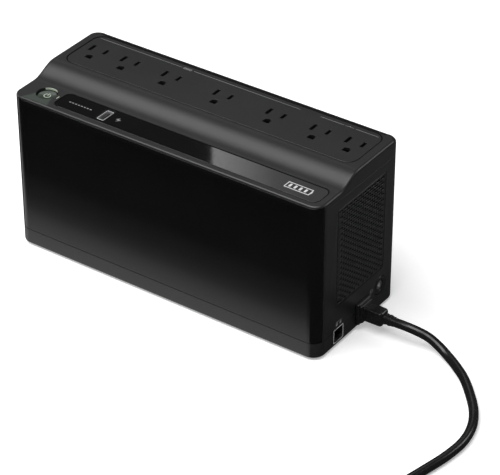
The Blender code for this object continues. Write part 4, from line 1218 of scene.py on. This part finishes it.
def glow_card(name, corners, along, stops):
    """A card that only glossy surfaces see; its glow changes along one axis.

    corners are two opposite corners in metres, and stops (place in metres, radiance) pairs.
    """
    (x0, y0, z0), (x1, y1, z1) = corners
    bm = bmesh.new()
    if z0 == z1:
        outline = ((x0, y0, z0), (x1, y0, z0), (x1, y1, z1), (x0, y1, z1))
    else:
        outline = ((x0, y0, z0), (x1, y1, z0), (x1, y1, z1), (x0, y0, z1))
    bm.faces.new([bm.verts.new(Vector(point) / MM) for point in outline])
    card = piece(name, bm, None)
    material = bpy.data.materials.new(name)
    material.use_nodes = True
    tree = material.node_tree
    tree.nodes.remove(tree.nodes["Principled BSDF"])
    emission = tree.nodes.new("ShaderNodeEmission")
    place = tree.nodes.new("ShaderNodeTexCoord")
    split = tree.nodes.new("ShaderNodeSeparateXYZ")
    tree.links.new(place.outputs["Object"], split.inputs["Vector"])
    start, end = stops[0][0], stops[-1][0]
    fraction = between(tree, split.outputs[along], 0.0, 1.0, start, end)
    ramp = tree.nodes.new("ShaderNodeValToRGB")
    peak = max(level for _, level in stops)
    elements = ramp.color_ramp.elements
    while len(elements) < len(stops):
        elements.new(0.5)
    for element, (at, level) in zip(elements, stops):
        element.position = (at - start) / (end - start)
        element.color = (level / peak,) * 3 + (1.0,)
    tree.links.new(fraction, ramp.inputs["Fac"])
    tree.links.new(ramp.outputs["Color"], emission.inputs["Color"])
    emission.inputs["Strength"].default_value = peak
    tree.links.new(emission.outputs["Emission"], tree.nodes["Material Output"].inputs["Surface"])
    card.data.materials.append(material)
    for flag in ("visible_camera", "visible_diffuse", "visible_shadow", "visible_transmission"):
        setattr(card, flag, False)
    return staged(card)


def world_light():
    """Pale to the camera, dim and grey to everything else."""
    world = bpy.data.worlds.new("studio")
    bpy.context.scene.world = world
    world.use_nodes = True
    tree = world.node_tree
    backdrop = tree.nodes["Background"]
    backdrop.inputs["Color"].default_value = (1.0, 1.0, 1.0, 1.0)
    backdrop.inputs["Strength"].default_value = 1.0
    room = tree.nodes.new("ShaderNodeBackground")
    room.inputs["Color"].default_value = (1.0, 1.0, 1.0, 1.0)
    room.inputs["Strength"].default_value = 0.045
    path = tree.nodes.new("ShaderNodeLightPath")
    mix = tree.nodes.new("ShaderNodeMixShader")
    tree.links.new(path.outputs["Is Camera Ray"], mix.inputs["Fac"])
    tree.links.new(room.outputs["Background"], mix.inputs[1])
    tree.links.new(backdrop.outputs["Background"], mix.inputs[2])
    tree.links.new(mix.outputs["Shader"], tree.nodes["World Output"].inputs["Surface"])


def lights():
    softbox("overhead", (-0.3, -0.62, 1.35), (-0.3, -0.619, 0.0), (1.8, 1.34), 38.0)
    softbox("back_fill", (1.05, 1.15, 0.95), (0.1, 0.0, 0.07), (0.7, 0.5), 4.0)
    softbox("left_strip", (-1.3, -0.15, 0.35), (0.0, 0.0, 0.07), (0.5, 0.7), 2.0)
    glow_card("window_card", ((-0.647, 0.9, 0.832), (-0.40, 0.9, 0.884)), "X",
              ((-0.647, 2.4), (-0.60, 1.6), (-0.55, 0.8), (-0.50, 0.6), (-0.40, 0.55)))
    glow_card("deck_card", ((-1.6, 0.95, 0.97), (0.0, 0.95, 1.45)), "X",
              ((-1.6, 1.1), (-0.7, 0.85), (0.0, 0.95)))
    glow_card("panel_card", ((-0.4, -0.215, -0.001), (0.13, -0.05, -0.001)), "Y",
              ((-0.215, 0.02), (-0.135, 0.045), (-0.1224, 0.10), (-0.1096, 0.15), (-0.0966, 0.28),
               (-0.0836, 0.58), (-0.0707, 0.80), (-0.05, 0.9)))
    glow_card("side_card", ((0.15, 0.0, -0.001), (0.5, 0.5, -0.001)), "Y", ((0.0, 0.08), (0.5, 0.16)))


floor()
world_light()
lights()
bpy.context.scene.view_settings.view_transform = "Standard"
